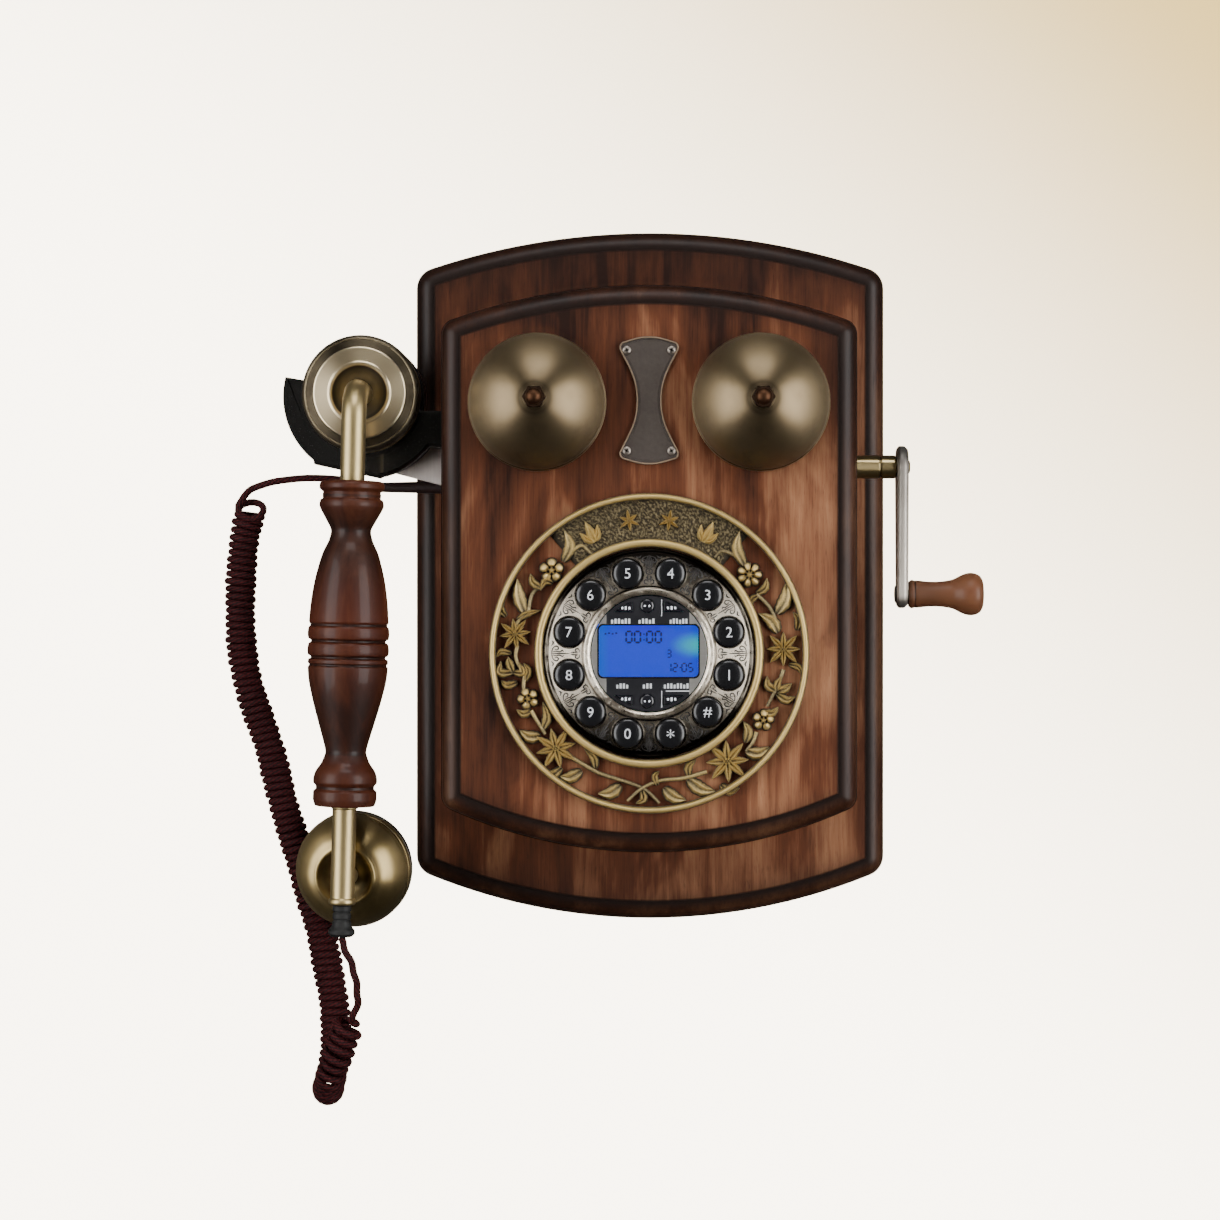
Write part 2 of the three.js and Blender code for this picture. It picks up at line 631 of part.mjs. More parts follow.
// The black fork: a crescent open at the top, a flat under it, and an arm into the case.
function cradleFork() {
  const { x, outer, notch, inner, back, front } = FORK;
  const around = (radius, angle) => [
    x + radius * Math.cos(degrees(angle)), EARPIECE_Z + radius * Math.sin(degrees(angle)),
  ];
  const innerZ = EARPIECE_Z - EARPIECE_NECK - GAP + inner;
  const points = (list) => list.map(([px, pz]) => new THREE.Vector2(px, pz));
  const shape = new THREE.Shape([
    ...arc(x, EARPIECE_Z, outer, degrees(166), degrees(231), 9),
    ...points([around(outer, 231), around(notch, 233), around(outer + 0.4, 280)]),
    ...arc(x, EARPIECE_Z, outer, degrees(282), degrees(322), 6),
    ...points([around(outer, 322), [-90, 54.4], [-60, 56], [-60, 70], [-97.4, 70.6]]),
    ...arc(x, innerZ, inner, degrees(-19.5), degrees(-180), 16),
    ...points([[x - inner, innerZ], [x - inner - 0.3, EARPIECE_Z + 6.8]]),
  ]);
  const bore = rod('y', LEVER.bore, [-front - 1, -back + 1], [LEVER.pivotX, LEVER.pivotZ], 12);
  return cut(plate(shape, back, front), bore);
}

// The steel lever behind the fork, with the heel that shows below it.
function cradlePlate() {
  const corners = [
    [-60, 56], [-60, 68], [-90, 68], [-99, 60], [-104, 52], [-113.5, 44.6], [-89, 38.2], [-86.5, 38.2], [-86.5, 55],
  ];
  const shape = new THREE.Shape(corners.reverse().map(([x, z]) => new THREE.Vector2(x, z)));
  const { back, front, bore, pivotX, pivotZ } = LEVER;
  return cut(plate(shape, back, front), rod('y', bore, [-front - 1, -back + 1], [pivotX, pivotZ], 12));
}

// The bracket on the back board carries the lever's stud and a shelf for the switch.
function hookBracket() {
  const { pivotX, pivotZ, stud, back } = LEVER;
  const foot = -BACK_THICK - 0.5;
  return joined(
    block([-75.4, -52], [-19, foot], [30, 70]),
    block([-75.4, -64.6], [-40, -18], [56.6, 67.4]),
    rod('y', 4, [-back + 0.4, -39], [pivotX, pivotZ], 12),
    rod('y', stud, [-FORK.front - 2, -39], [pivotX, pivotZ], 12),
    block([-68, -54], [-50, -18], [34, 37.7]),
  );
}

function hookSwitch() {
  const body = block([-68, -54], [-50, -40], [38, 51.5]);
  return joined(body, block([-63, -60.4], [-47.4, -43], [51, 54.2]));
}

add('cradle_fork', cradleFork(), 'blackPlastic');
add('cradle_plate', cradlePlate(), 'steel');
add('hook_bracket', hookBracket(), 'steel');
add('hook_switch', hookSwitch(), 'blackPlastic');

// ---------------------------------------------------------------- handset

// Everything in this group is placed from the handle's own axis, which leans.
const handset = new THREE.Group();
handset.position.x = HANDSET.x;
handset.rotation.y = degrees(LEAN);
telephone.add(handset);

// Radii down the turned handle: head bead, neck, belly with three grooves, foot beads.
const HANDLE_PROFILE = [
  [0, 38.3], [12.8, 38.3], [13.6, 37], [13.6, 34.9], [11.8, 33.5], [12.3, 32.2], [12, 30.8], [13.6, 27.8], [11, 23],
  [8.1, 17.8], [9.2, 13], [11.5, 8.7], [14.8, -3.9], [16.5, -16.8], [16.7, -20.5], [16.1, -21.8], [17.1, -25.3],
  [16.1, -28.9], [17.1, -32.4], [16.1, -36], [16.7, -38], [16.4, -44.7], [14.7, -51.8], [12.8, -58.9],
  [10.6, -66.4], [8.3, -74.5], [10, -79.4], [12.5, -82.7], [13.3, -87.3], [12, -89.8], [13.3, -92.3],
  [13.3, -95], [12.4, -97.3], [0, -97.3],
];

function upperTube() {
  const [bend, start] = [12, -73.8];
  const elbow = [15, 30, 45, 60, 75].map((angle) => {
    const turn = degrees(angle);
    return [0, HANDSET.y + bend - bend * Math.sin(turn), EARPIECE_Z - bend + bend * Math.cos(turn)];
  });
  const points = [
    [0, start, EARPIECE_Z], [0, -80, EARPIECE_Z], ...elbow, [0, HANDSET.y, EARPIECE_Z - bend],
    [0, HANDSET.y, 52], [0, HANDSET.y, 38.6],
  ];
  return tube(points, TUBE, 13, 10);
}

// A straight tube with a foot ring, and the stub that carries the mouthpiece.
function lowerTube() {
  const upright = turnedUp([
    [0, -97.6], [5, -97.6], [5, -136.6], [5.7, -137], [5.7, -138.5], [0, -138.5],
  ], 16).translate(0, HANDSET.y, 0);
  const stub = rod('y', 4.2, [HANDSET.y, -84.2], [MOUTHPIECE.x, MOUTHPIECE.z - 0.6], 12);
  return joined(upright, stub);
}

const EARPIECE_PROFILE = [
  [0, 73.4], [8.6, 73.4], [12, 79.4], [13, 80], [19.6, 79.6], [20.7, 78.2], [23.2, 77], [24.9, 75], [24.9, 63.5],
  [EARPIECE_NECK, 62], [EARPIECE_NECK, 46.5], [19.5, 46.5], [19.5, 66], [0, 66],
];
const EARPIECE_CAP_PROFILE = [
  [0, 33.6], [9, 33], [17, 31], [21, 30], [24, 32.4], [24.9, 36], [24.9, 43.6], [23.4, 46.2], [0, 46.2],
];
const MOUTHPIECE_PROFILE = [
  [0, 83], [7.6, 83], [11.4, 87.6], [12.4, 88.4], [16, 87.4], [20.5, 83.4], [23.6, 77.6], [24.6, 72], [24.6, 68.5],
  [22.6, 68.5], [22, 73], [18.6, 78.4], [10, 80.8], [0, 80.8],
];
const GRILLE_PROFILE = [
  [0, 56.4], [15, 57], [21, 59], [24, 62.5], [24.6, 66], [24.6, 68.2], [0, 68.2],
];

const capsule = (radius, back, front) => turnedOut([[0, back], [radius, back], [radius, front], [0, front]], 16);

const atEarpiece = (geometry) => geometry.translate(0, 0, EARPIECE_Z);

function atMouthpiece(geometry) {
  const { x, z, tilt, middle } = MOUTHPIECE;
  return geometry.translate(0, middle, 0).rotateX(degrees(tilt)).translate(x, -middle, z);
}

// The rubber strain relief under the lower tube, with a flared foot.
function handsetGland() {
  const profile = [
    [0, -138.8], [3.9, -138.8], [3.9, -147.8], [5.6, -149], [5.6, -150.8], [4.4, -151.8], [0, -151.8],
  ];
  return turnedUp(profile, 14).translate(0, HANDSET.y, 0);
}

add('handset_handle', turnedUp(HANDLE_PROFILE, 16).translate(0, HANDSET.y, 0), 'mahogany', handset);
add('upper_tube', upperTube(), 'brass', handset);
add('lower_tube', lowerTube(), 'brass', handset);
add('earpiece_shell', atEarpiece(turnedOut(EARPIECE_PROFILE, 22)), 'brass', handset);
add('earpiece_cap', atEarpiece(turnedOut(EARPIECE_CAP_PROFILE, 22)), 'brass', handset);
add('receiver_capsule', atEarpiece(capsule(18.8, 47, 65.6)), 'blackPlastic', handset);
add('mouthpiece_shell', atMouthpiece(turnedOut(MOUTHPIECE_PROFILE, 22)), 'brass', handset);
add('mouthpiece_grille', atMouthpiece(turnedOut(GRILLE_PROFILE, 22)), 'blackPlastic', handset);
add('microphone_capsule', atMouthpiece(capsule(9, 68.6, 79.6)), 'blackPlastic', handset);
add('handset_gland', handsetGland(), 'blackPlastic', handset);

// ---------------------------------------------------------------- cord

// The sleeve plugs into the case wall, and the cord leaves from its thin end.
function cordSleeve() {
  const { x, y, z, sleeve } = CORD_EXIT;
  const profile = [
    [0, -x - CASE_WALL], [3.2, -x - CASE_WALL], [3.2, -x + GAP], [4.6, -x + GAP], [4.6, -x + 1.8], [2.6, -x + 3],
    [2, -x + sleeve], [0, -x + sleeve],
  ];
  return lathe(profile, 12).rotateZ(Math.PI / 2).translate(0, y, z);
}

// Routes of the cord's centreline: the lead, the axis of the curly part, and the straighter tail.
const LEAD_ROUTE = [
  [-121.5, -38, 38.2], [-123.5, -38, 38.4], [-127.5, -38, 39.8], [-133.5, -38, 41.3], [-141.3, -38, 42.1],
  [-151.3, -38, 42.2], [-161.4, -38, 41.2], [-167, -38, 40.1], [-173.2, -38, 38],
];
const COIL_ROUTE = [
  [-174.4, -38, 35.4], [-175.2, -38, 26], [-177.2, -38.3, 17.9], [-178.5, -39, 4.6], [-179, -40, -9],
  [-178.4, -41, -30.4], [-174.6, -42, -50.5], [-165.6, -43.5, -76.3], [-160, -45, -98.4], [-153, -46, -120.9],
  [-148.3, -46.5, -137.5], [-143.4, -47, -154], [-139.6, -48.5, -172], [-136.6, -50.5, -188],
  [-135.8, -52.5, -202], [-137, -57, -214.6], [-137.4, -68, -220.4], [-135.4, -79, -214.4],
  [-132, -83.8, -204.6], [-128.8, -85.6, -196], [-126.2, -87, -189.2],
];
const TAIL_ROUTE = [
  [-124.9, -87.8, -187], [-122.6, -90, -181.6], [-122.4, -93, -174], [-124, -96, -164.4], [-127, -97.7, -157],
  [-128.3, -98, -152.2],
];

add('cord_grommet', cordSleeve(), 'blackPlastic');
add('cord_lead', tube(LEAD_ROUTE, CORD_RADIUS, 16, 8), 'cord');
add('cord_coil', tube(COIL_ROUTE, COIL_RADIUS, 44, 8), 'cord');
add('cord_tail', tube(TAIL_ROUTE, CORD_RADIUS, 12, 8), 'cord');

export default telephone;
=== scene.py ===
import json
import math
import random

import bmesh
import bpy
from bpy.props import FloatProperty, FloatVectorProperty, IntProperty, PointerProperty
from bpy.types import Operator, Panel, PropertyGroup
from mathutils import Matrix, Vector, noise


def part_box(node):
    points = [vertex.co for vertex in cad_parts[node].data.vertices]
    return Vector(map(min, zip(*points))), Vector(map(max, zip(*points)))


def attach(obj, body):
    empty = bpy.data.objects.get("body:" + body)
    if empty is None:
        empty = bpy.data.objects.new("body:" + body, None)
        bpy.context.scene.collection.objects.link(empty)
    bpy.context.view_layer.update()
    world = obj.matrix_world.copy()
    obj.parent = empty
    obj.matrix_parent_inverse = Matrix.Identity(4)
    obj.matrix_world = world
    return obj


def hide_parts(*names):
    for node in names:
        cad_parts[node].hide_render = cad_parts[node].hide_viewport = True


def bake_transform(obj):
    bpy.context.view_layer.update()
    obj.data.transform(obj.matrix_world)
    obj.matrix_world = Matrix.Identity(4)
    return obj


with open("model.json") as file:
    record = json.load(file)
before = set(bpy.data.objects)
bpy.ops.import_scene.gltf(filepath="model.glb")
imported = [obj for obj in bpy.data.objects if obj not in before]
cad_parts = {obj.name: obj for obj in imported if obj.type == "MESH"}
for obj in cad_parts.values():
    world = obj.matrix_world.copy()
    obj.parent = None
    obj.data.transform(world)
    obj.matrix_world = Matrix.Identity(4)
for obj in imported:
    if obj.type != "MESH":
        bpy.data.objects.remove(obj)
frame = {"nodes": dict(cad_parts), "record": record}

bl_info = {
    "name": "Wall Crank Telephone",
    "version": (1, 0, 0),
    "blender": (4, 5, 0),
    "location": "View3D > Sidebar > Telephone",
    "description": "Builds the finished surfaces of a wooden wall telephone round its packed frame",
    "category": "Add Mesh",
}

# Shapes below are written in millimetres, and turned to metres when a mesh is made.
MM = 0.001

RECORD = frame["record"]
BODY_OF = {node: body for body, nodes in RECORD["behaviour"]["bodies"].items() for node in nodes}
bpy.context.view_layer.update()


def box(node):
    """Lowest and highest corner of a CAD node, in millimetres."""
    low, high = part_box(node)
    return low / MM, high / MM


def middle(node):
    low, high = box(node)
    return (low + high) / 2


# ---------------------------------------------------------------- settings


def srgb(code):
    """A colour written as six hex digits, as the linear numbers that shaders take."""
    parts = [int(code[i:i + 2], 16) / 255 for i in (0, 2, 4)]
    return tuple(p / 12.92 if p <= 0.04045 else ((p + 0.055) / 1.055) ** 2.4 for p in parts)


def size(name, description, millimetres):
    return FloatProperty(
        name=name, description=description, default=millimetres * MM, min=0, unit="LENGTH", precision=5
    )


def colour(name, description, code):
    return FloatVectorProperty(
        name=name, description=description, default=srgb(code), min=0, max=1, size=3, subtype="COLOR"
    )


def share(name, description, default):
    return FloatProperty(name=name, description=description, default=default, min=0, max=1, subtype="FACTOR")


class WoodSettings(PropertyGroup):
    light: colour("Light grain", "Lightest walnut of the boards", "916649")
    warm: colour("Warm grain", "Reddish walnut of the boards", "4d2a19")
    dark: colour("Dark grain", "Darkest streaks in the walnut", "1a0a05")
    # The edge colour is a real stain on the mouldings and also the painted shade that the tone lays into the moulding's
    # step, beside the board edges and in the case's corners.
    edge: colour("Shaded edge", "Stain rubbed into the moulded edges", "100603")
    knob: colour("Knob wood", "Browner stain of the crank's knob", "6a452e")
    turned: colour("Turned wood", "Reddish stain of the handle", "431708")
    moulding_width: size("Moulding width", "Width of the quarter round on the boards", 7.5)
    moulding_side: size("Moulding side", "Square side left under the quarter round", 7)


class MetalSettings(PropertyGroup):
    brass: colour("Brass", "Antique brass of the bells and handset", "a08e66")
    shade: colour("Patina", "Dark patina in the hollows of the brass", "1e1813")
    bell: colour("Bell brass", "Darker brass of the bells", "76674f")
    ring: colour("Ring brass", "Pale brushed brass round the earpiece", "cdbc9a")
    gold: colour("Gold", "Crests of the cast ring", "b1985f")
    nickel: colour("Nickel", "Antique nickel of the keypad plate", "d8ccb9")
    bronze: colour("Bronze", "Aged bronze of the name plate", "544c47")
    steel: colour("Steel", "Satin steel of the crank arm and lever", "b9b0a8")


class DialSettings(PropertyGroup):
    relief: size("Relief", "Height of the leaves and flowers over the panel", 4.2)
    stipple: size("Stipple", "Height of the grain on the blank panel of the ring", 0.45)
    screen: colour("Screen", "Blue of the lit display", "003cff")
    segment: colour("Segments", "Dark blue of the figures on the display", "03082e")
    figures: colour("Figures", "Pale ink of the keys", "b4b6ba")


class CordSettings(PropertyGroup):
    wire: size("Wire", "Diameter of the braided cord", 3.1)
    turn: size("Turn radius", "Radius of the curl's centreline", 5.25)
    pitch: size("Pitch", "Distance between turns of the curl", 3.15)
    dark: colour("Dark thread", "Darkest thread of the braid", "0d0405")
    light: colour("Red thread", "Reddest thread of the braid", "421113")
    steps: IntProperty(name="Steps", description="Points round each turn of the curl", default=16, min=12)


class StudioSettings(PropertyGroup):
    key: FloatProperty(name="Side lights", description="Power of each side softbox", default=27, min=0, unit="POWER")
    top: FloatProperty(name="Top light", description="Power of the top softbox", default=16, min=0, unit="POWER")
    fill: FloatProperty(name="Fill light", description="Brightness of the room round the stage", default=0.16, min=0)
    glow: FloatProperty(name="Backdrop", description="Brightness of the backdrop", default=8.0, min=0)
    paper: colour("Paper", "Pale paper of the backdrop and floor", "fbefdb")
    corner: colour("Corner", "Warmer tone of the backdrop's far corner", "86703f")


class TelephoneSettings(PropertyGroup):
    wood: PointerProperty(type=WoodSettings, name="Wood", description="Boards, handle and knob")
    metal: PointerProperty(type=MetalSettings, name="Metal", description="Bells, ring, plates and tubes")
    dial: PointerProperty(type=DialSettings, name="Dial", description="Cast ring, keys and display")
    cord: PointerProperty(type=CordSettings, name="Cord", description="Curly cord")
    studio: PointerProperty(type=StudioSettings, name="Studio", description="Lights, floor and backdrop")


def settings():
    return bpy.context.scene.telephone


# ---------------------------------------------------------------- shapes


class Shape:
    """A surface in the making: points, faces, and a tone from 0 to 1 at each point."""

    def __init__(self, points=(), faces=()):
        self.points = [Vector(point) for point in points]
        self.faces = [tuple(face) for face in faces]
        self.tones = [1.0] * len(self.points)

    def add(self, *others):
        for other in others:
            first = len(self.points)
            self.points += other.points
            self.tones += other.tones
            self.faces += [tuple(first + i for i in face) for face in other.faces]
        return self

    def moved(self, matrix):
        self.points = [matrix @ point for point in self.points]
        return self

    def toned(self, tone):
        self.tones = [min(max(tone(point), 0.0), 1.0) for point in self.points]
        return self


def at(x, y, z):
    return Matrix.Translation((x, y, z))


# Turned pieces are made about their own +Z; these lay that axis out from the wall, to the right or to the left.
OUT = Matrix.Rotation(math.pi / 2, 4, "X")
RIGHT = Matrix.Rotation(math.pi / 2, 4, "Y")
LEFT = Matrix.Rotation(-math.pi / 2, 4, "Y")
# A plate made to face the front, turned to face the right.
SIDEWAYS = Matrix.Rotation(math.pi / 2, 4, "Z")


def smoothstep(low, high, value):
    t = min(max((value - low) / (high - low), 0.0), 1.0)
    return t * t * (3 - 2 * t)


def skinned(rings, caps=True, around=False):
    """Joins rings of equal length into one skin, capped at both ends or closed on itself."""
    count, total = len(rings[0]), len(rings)
    faces = []
    for k in range(total if around else total - 1):
        low, high = k * count, (k + 1) % total * count
        for i in range(count):
            j = (i + 1) % count
            faces.append((low + i, low + j, high + j, high + i))
    if caps and not around:
        faces.append(tuple(reversed(range(count))))
        faces.append(tuple(range((total - 1) * count, total * count)))
    return Shape([point for ring in rings for point in ring], faces)


def circle(radius, steps, height=0.0):
    angles = [2 * math.pi * i / steps for i in range(steps)]
    return [(radius * math.cos(a), radius * math.sin(a), height) for a in angles]


def turned(profile, steps=96):
    """A piece turned about +Z from a profile of radius and height; a profile that returns to its start is a ring."""
    around = tuple(profile[0]) == tuple(profile[-1])
    rings = [circle(point[0], steps, point[1]) for point in (profile[:-1] if around else profile)]
    return skinned(rings, caps=False, around=around)


def eased(profile, ease=0.4, steps=4):
    """Rounds the corners of a profile; a third number on a point sets how far its rounding reaches."""
    ring = tuple(profile[0][:2]) == tuple(profile[-1][:2])
    corners = list(profile[:-1] if ring else profile)
    result = []
    for i, corner in enumerate(corners):
        here = Vector(corner[:2])
        if not ring and i in (0, len(corners) - 1):
            result.append(tuple(here))
            continue
        reach = corner[2] if len(corner) > 2 else ease
        legs = [Vector(corners[i - 1][:2]) - here, Vector(corners[(i + 1) % len(corners)][:2]) - here]
        start, end = [here + leg.normalized() * min(reach, leg.length / 2) for leg in legs]
        for k in range(steps + 1):
            t = k / steps
            result.append(tuple(start * (1 - t) ** 2 + here * (2 * t * (1 - t)) + end * t * t))
    if ring:
        result.append(result[0])
    return result


def arc(x, z, radius, start, end, steps):
    """Points (x, z) on an arc between two angles in degrees."""
    angles = [math.radians(start + (end - start) * i / steps) for i in range(steps + 1)]
    return [(x + radius * math.cos(a), z + radius * math.sin(a)) for a in angles]


def bezier(a, b, c, d, steps=12):
    """Points on a cubic curve, the last one left out."""
    pull = [Vector(p) for p in (a, b, c, d)]
    curve = []
    for k in range(steps):
        t, s = k / steps, 1 - k / steps
        weights = (s ** 3, 3 * s * s * t, 3 * s * t * t, t ** 3)
        curve.append(tuple(sum((p * w for p, w in zip(pull, weights)), Vector((0, 0)))))
    return curve


def smooth_line(points, steps):
    """A smooth curve through the points, with so many steps between each two."""
    given = [Vector(point) for point in points]
    ends = [given[0] * 2 - given[1], *given, given[-1] * 2 - given[-2]]
    curve = []
    for a, b, c, d in zip(ends, ends[1:], ends[2:], ends[3:]):
        for k in range(steps):
            t = k / steps
            curve.append(
                (b * 2 + (c - a) * t + (a * 2 - b * 5 + c * 4 - d) * t * t + (b * 3 - a - c * 3 + d) * t ** 3) / 2
            )
    return [*curve, given[-1]]


def swept(path, radius, sides=16):
    """A round bar along a path. radius is a number, or a function of the share of the way along."""
    rings = []
    across = None
    for i, point in enumerate(path):
        tangent = (path[min(i + 1, len(path) - 1)] - path[max(i - 1, 0)]).normalized()
        across = tangent.orthogonal() if across is None else across - tangent * across.dot(tangent)
        across.normalize()
        up = tangent.cross(across)
        r = radius(i / (len(path) - 1)) if callable(radius) else radius
        angles = [2 * math.pi * k / sides for k in range(sides)]
        rings.append([point + (across * math.cos(a) + up * math.sin(a)) * r for a in angles])
    return skinned(rings)


def inset(outline, amount):
    """Moves a counter-clockwise outline of (x, z) inwards."""
    moved = []
    for i, corner in enumerate(outline):
        here = Vector(corner)
        sides = [here - Vector(outline[i - 1]), Vector(outline[(i + 1) % len(outline)]) - here]
        normals = [Vector((-side.y, side.x)).normalized() for side in sides]
        mean = (normals[0] + normals[1]).normalized()
        moved.append(tuple(here + mean * (amount / max(mean.dot(normals[0]), 0.5))))
    return moved


def levelled(outline_at, levels):
    """A board from levels of inset and distance out from the wall."""
    return skinned([[(x, -out, z) for x, z in outline_at(amount)] for amount, out in levels])


def plate(outline, back, front, ease=0.4):
    """A flat piece cut to an outline, with its edges eased."""
    levels = eased([(ease, back), (0, back, ease), (0, front, ease), (ease, front)], ease, 3)
    return levelled(lambda amount: inset(outline, amount), levels)


def rounded_rectangle(width, height, radius, x, z):
    right, top = width / 2 - radius, height / 2 - radius
    corners = [(right, top, 0), (-right, top, 90), (-right, -top, 180), (right, -top, 270)]
    return [p for cx, cz, turn in corners for p in arc(x + cx, z + cz, radius, turn, turn + 90, 5)]


def block(low, high, ease=0.3):
    """A box between two corners, with eased edges."""
    outline = [(low[0], low[2]), (high[0], low[2]), (high[0], high[2]), (low[0], high[2])]
    return plate(outline, -high[1], -low[1], ease)


def bare(name, shape, place=None):
    """A mesh object of a shape, welded, with its faces pointing out, and standing where place says."""
    mesh = bpy.data.meshes.new(name)
    mesh.from_pydata([point * MM for point in shape.points], [], shape.faces)
    tone = mesh.attributes.new("tone", "FLOAT", "POINT")
    tone.data.foreach_set("value", shape.tones)
    work = bmesh.new()
    work.from_mesh(mesh)
    weld = 1e-6
    bmesh.ops.remove_doubles(work, verts=work.verts, dist=weld)
    bmesh.ops.dissolve_degenerate(work, edges=work.edges, dist=weld)
    wide = [face for face in work.faces if len(face.verts) > 4]
    bmesh.ops.triangulate(work, faces=wide, ngon_method="EAR_CLIP")
    bmesh.ops.recalc_face_normals(work, faces=work.faces)
    work.to_mesh(mesh)
    work.free()
    thing = bpy.data.objects.new(name, mesh)
    if place is not None:
        matrix = place.copy()
        matrix.translation *= MM
        thing.matrix_world = matrix
    bpy.context.scene.collection.objects.link(thing)
    return thing


def carve(thing, tool):
    """Cuts a shape, in the object's own coordinates, out of it for good."""
    cutter = bare("cutter", tool)
    cutter.matrix_world = thing.matrix_world.copy()
    modifier = thing.modifiers.new("cut", "BOOLEAN")
    modifier.operation = "DIFFERENCE"
    modifier.solver = "EXACT"
    modifier.object = cutter
    seen = thing.evaluated_get(bpy.context.evaluated_depsgraph_get())
    mesh = bpy.data.meshes.new_from_object(seen)
    thing.modifiers.clear()
    thing.data = mesh
    bpy.data.objects.remove(cutter)


def piece(name, shape, finish, nodes=(), place=None, cut=None, tone=None, crease=32, like=None):
    """A finished piece. It stands for CAD nodes, or rides with one that it is like."""
    thing = bare(name, shape, place)
    if cut is not None:
        carve(thing, cut)
    mesh = thing.data
    if tone is not None:
        values = [min(max(tone(vertex.co / MM), 0.0), 1.0) for vertex in mesh.vertices]
        mesh.attributes["tone"].data.foreach_set("value", values)
    mesh.materials.clear()
    mesh.materials.append(finish)
    mesh.shade_smooth()
    mesh.set_sharp_from_angle(angle=math.radians(crease))
    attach(thing, BODY_OF[like or nodes[0]])
    if nodes:
        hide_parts(*nodes)
    return thing


def dress(finish, *nodes):
    """Gives CAD nodes a finish and leaves their shape alone."""
    for node in nodes:
        materials = frame["nodes"][node].data.materials
        materials.clear()
        materials.append(finish)


# ---------------------------------------------------------------- finishes


class Value:
    """An output of a shader node that takes part in Python arithmetic."""

    def __init__(self, finish, output):
        self.finish = finish
        self.output = output

    def maths(self, operation, *values):
        return self.finish.node("ShaderNodeMath", {"operation": operation}, dict(enumerate(values)))

    def __add__(self, other):
        return self.maths("ADD", self, other)

    __radd__ = __add__

    def __sub__(self, other):
        return self.maths("SUBTRACT", self, other)

    def __rsub__(self, other):
        return self.maths("SUBTRACT", other, self)

    def __mul__(self, other):
        return self.maths("MULTIPLY", self, other)

    __rmul__ = __mul__

    def __truediv__(self, other):
        return self.maths("DIVIDE", self, other)

    def __pow__(self, other):
        return self.maths("POWER", self, other)

    def function(self, operation):
        return self.maths(operation, self)

    def above(self, low, high):
        """0 below low, 1 above high, and smooth between."""
        values = {0: self, 1: low, 2: high, 3: 0.0, 4: 1.0}
        return self.finish.node("ShaderNodeMapRange", {"interpolation_type": "SMOOTHSTEP"}, values)


class Finish:
    """A material in the making, round one Principled shader."""

    def __init__(self, name):
        self.material = bpy.data.materials.new(name)
        self.material.use_nodes = True
        self.tree = self.material.node_tree
        self.shader = self.tree.nodes["Principled BSDF"]

    def node(self, kind, given=None, values=None, output=0):
        """One node: its own settings first, then the values or links of its sockets."""
        node = self.tree.nodes.new(kind)
        for name, value in (given or {}).items():
            if name == "stops":
                ramp = node.color_ramp
                while len(ramp.elements) < len(value):
                    ramp.elements.new(1.0)
                for element, (place, tint) in zip(ramp.elements, value):
                    element.position = place
                    element.color = (*tint, 1.0)
            else:
                setattr(node, name, value)
        for name, value in (values or {}).items():
            if isinstance(value, Value):
                self.tree.links.new(value.output, node.inputs[name])
            else:
                node.inputs[name].default_value = value
        return Value(self, node.outputs[output])

    def place(self):
        return self.node("ShaderNodeTexCoord", output="Object")

    def axis(self, index):
        return self.node("ShaderNodeSeparateXYZ", None, {0: self.place()}, index)

    def tone(self):
        return self.node("ShaderNodeAttribute", {"attribute_name": "tone"}, output="Fac")

    def noise(self, scale, stretch=(1, 1, 1), detail=3.0, rough=0.55, distortion=0.0, where=None):
        """Cloudy noise from 0 to 1, with its scale per metre, stretched along the axes."""
        vector = self.node("ShaderNodeVectorMath", {"operation": "MULTIPLY"}, {0: where or self.place(), 1: stretch})
        values = {"Vector": vector, "Scale": scale, "Detail": detail, "Roughness": rough, "Distortion": distortion}
        return self.node("ShaderNodeTexNoise", None, values)

    def cells(self, scale, feature="F1", stretch=(1, 1, 1), output="Distance"):
        vector = self.node("ShaderNodeVectorMath", {"operation": "MULTIPLY"}, {0: self.place(), 1: stretch})
        return self.node("ShaderNodeTexVoronoi", {"feature": feature}, {"Vector": vector, "Scale": scale}, output)

    def ramp(self, factor, *stops):
        return self.node("ShaderNodeValToRGB", {"stops": stops}, {0: factor})

    def mix(self, factor, first, second, blend="MIX"):
        pair = [tint if isinstance(tint, Value) else (*tint, 1.0) for tint in (first, second)]
        return self.node(
            "ShaderNodeMix", {"data_type": "RGBA", "blend_type": blend}, {0: factor, 6: pair[0], 7: pair[1]}, 2
        )

    def bump(self, height, depth, strength=1.0):
        """A normal from a height of 0 to 1; depth is in millimetres."""
        return self.node("ShaderNodeBump", None, {"Height": height, "Distance": depth * MM, "Strength": strength})

    def made(self, **sockets):
        """Sets the shader's sockets by name, with _ for a space, and gives the material."""
        for name, value in sockets.items():
            socket = self.shader.inputs[name.replace("_", " ")]
            if isinstance(value, Value):
                self.tree.links.new(value.output, socket)
            elif socket.type == "RGBA":
                socket.default_value = (*value, 1.0)
            else:
                socket.default_value = value
        return self.material


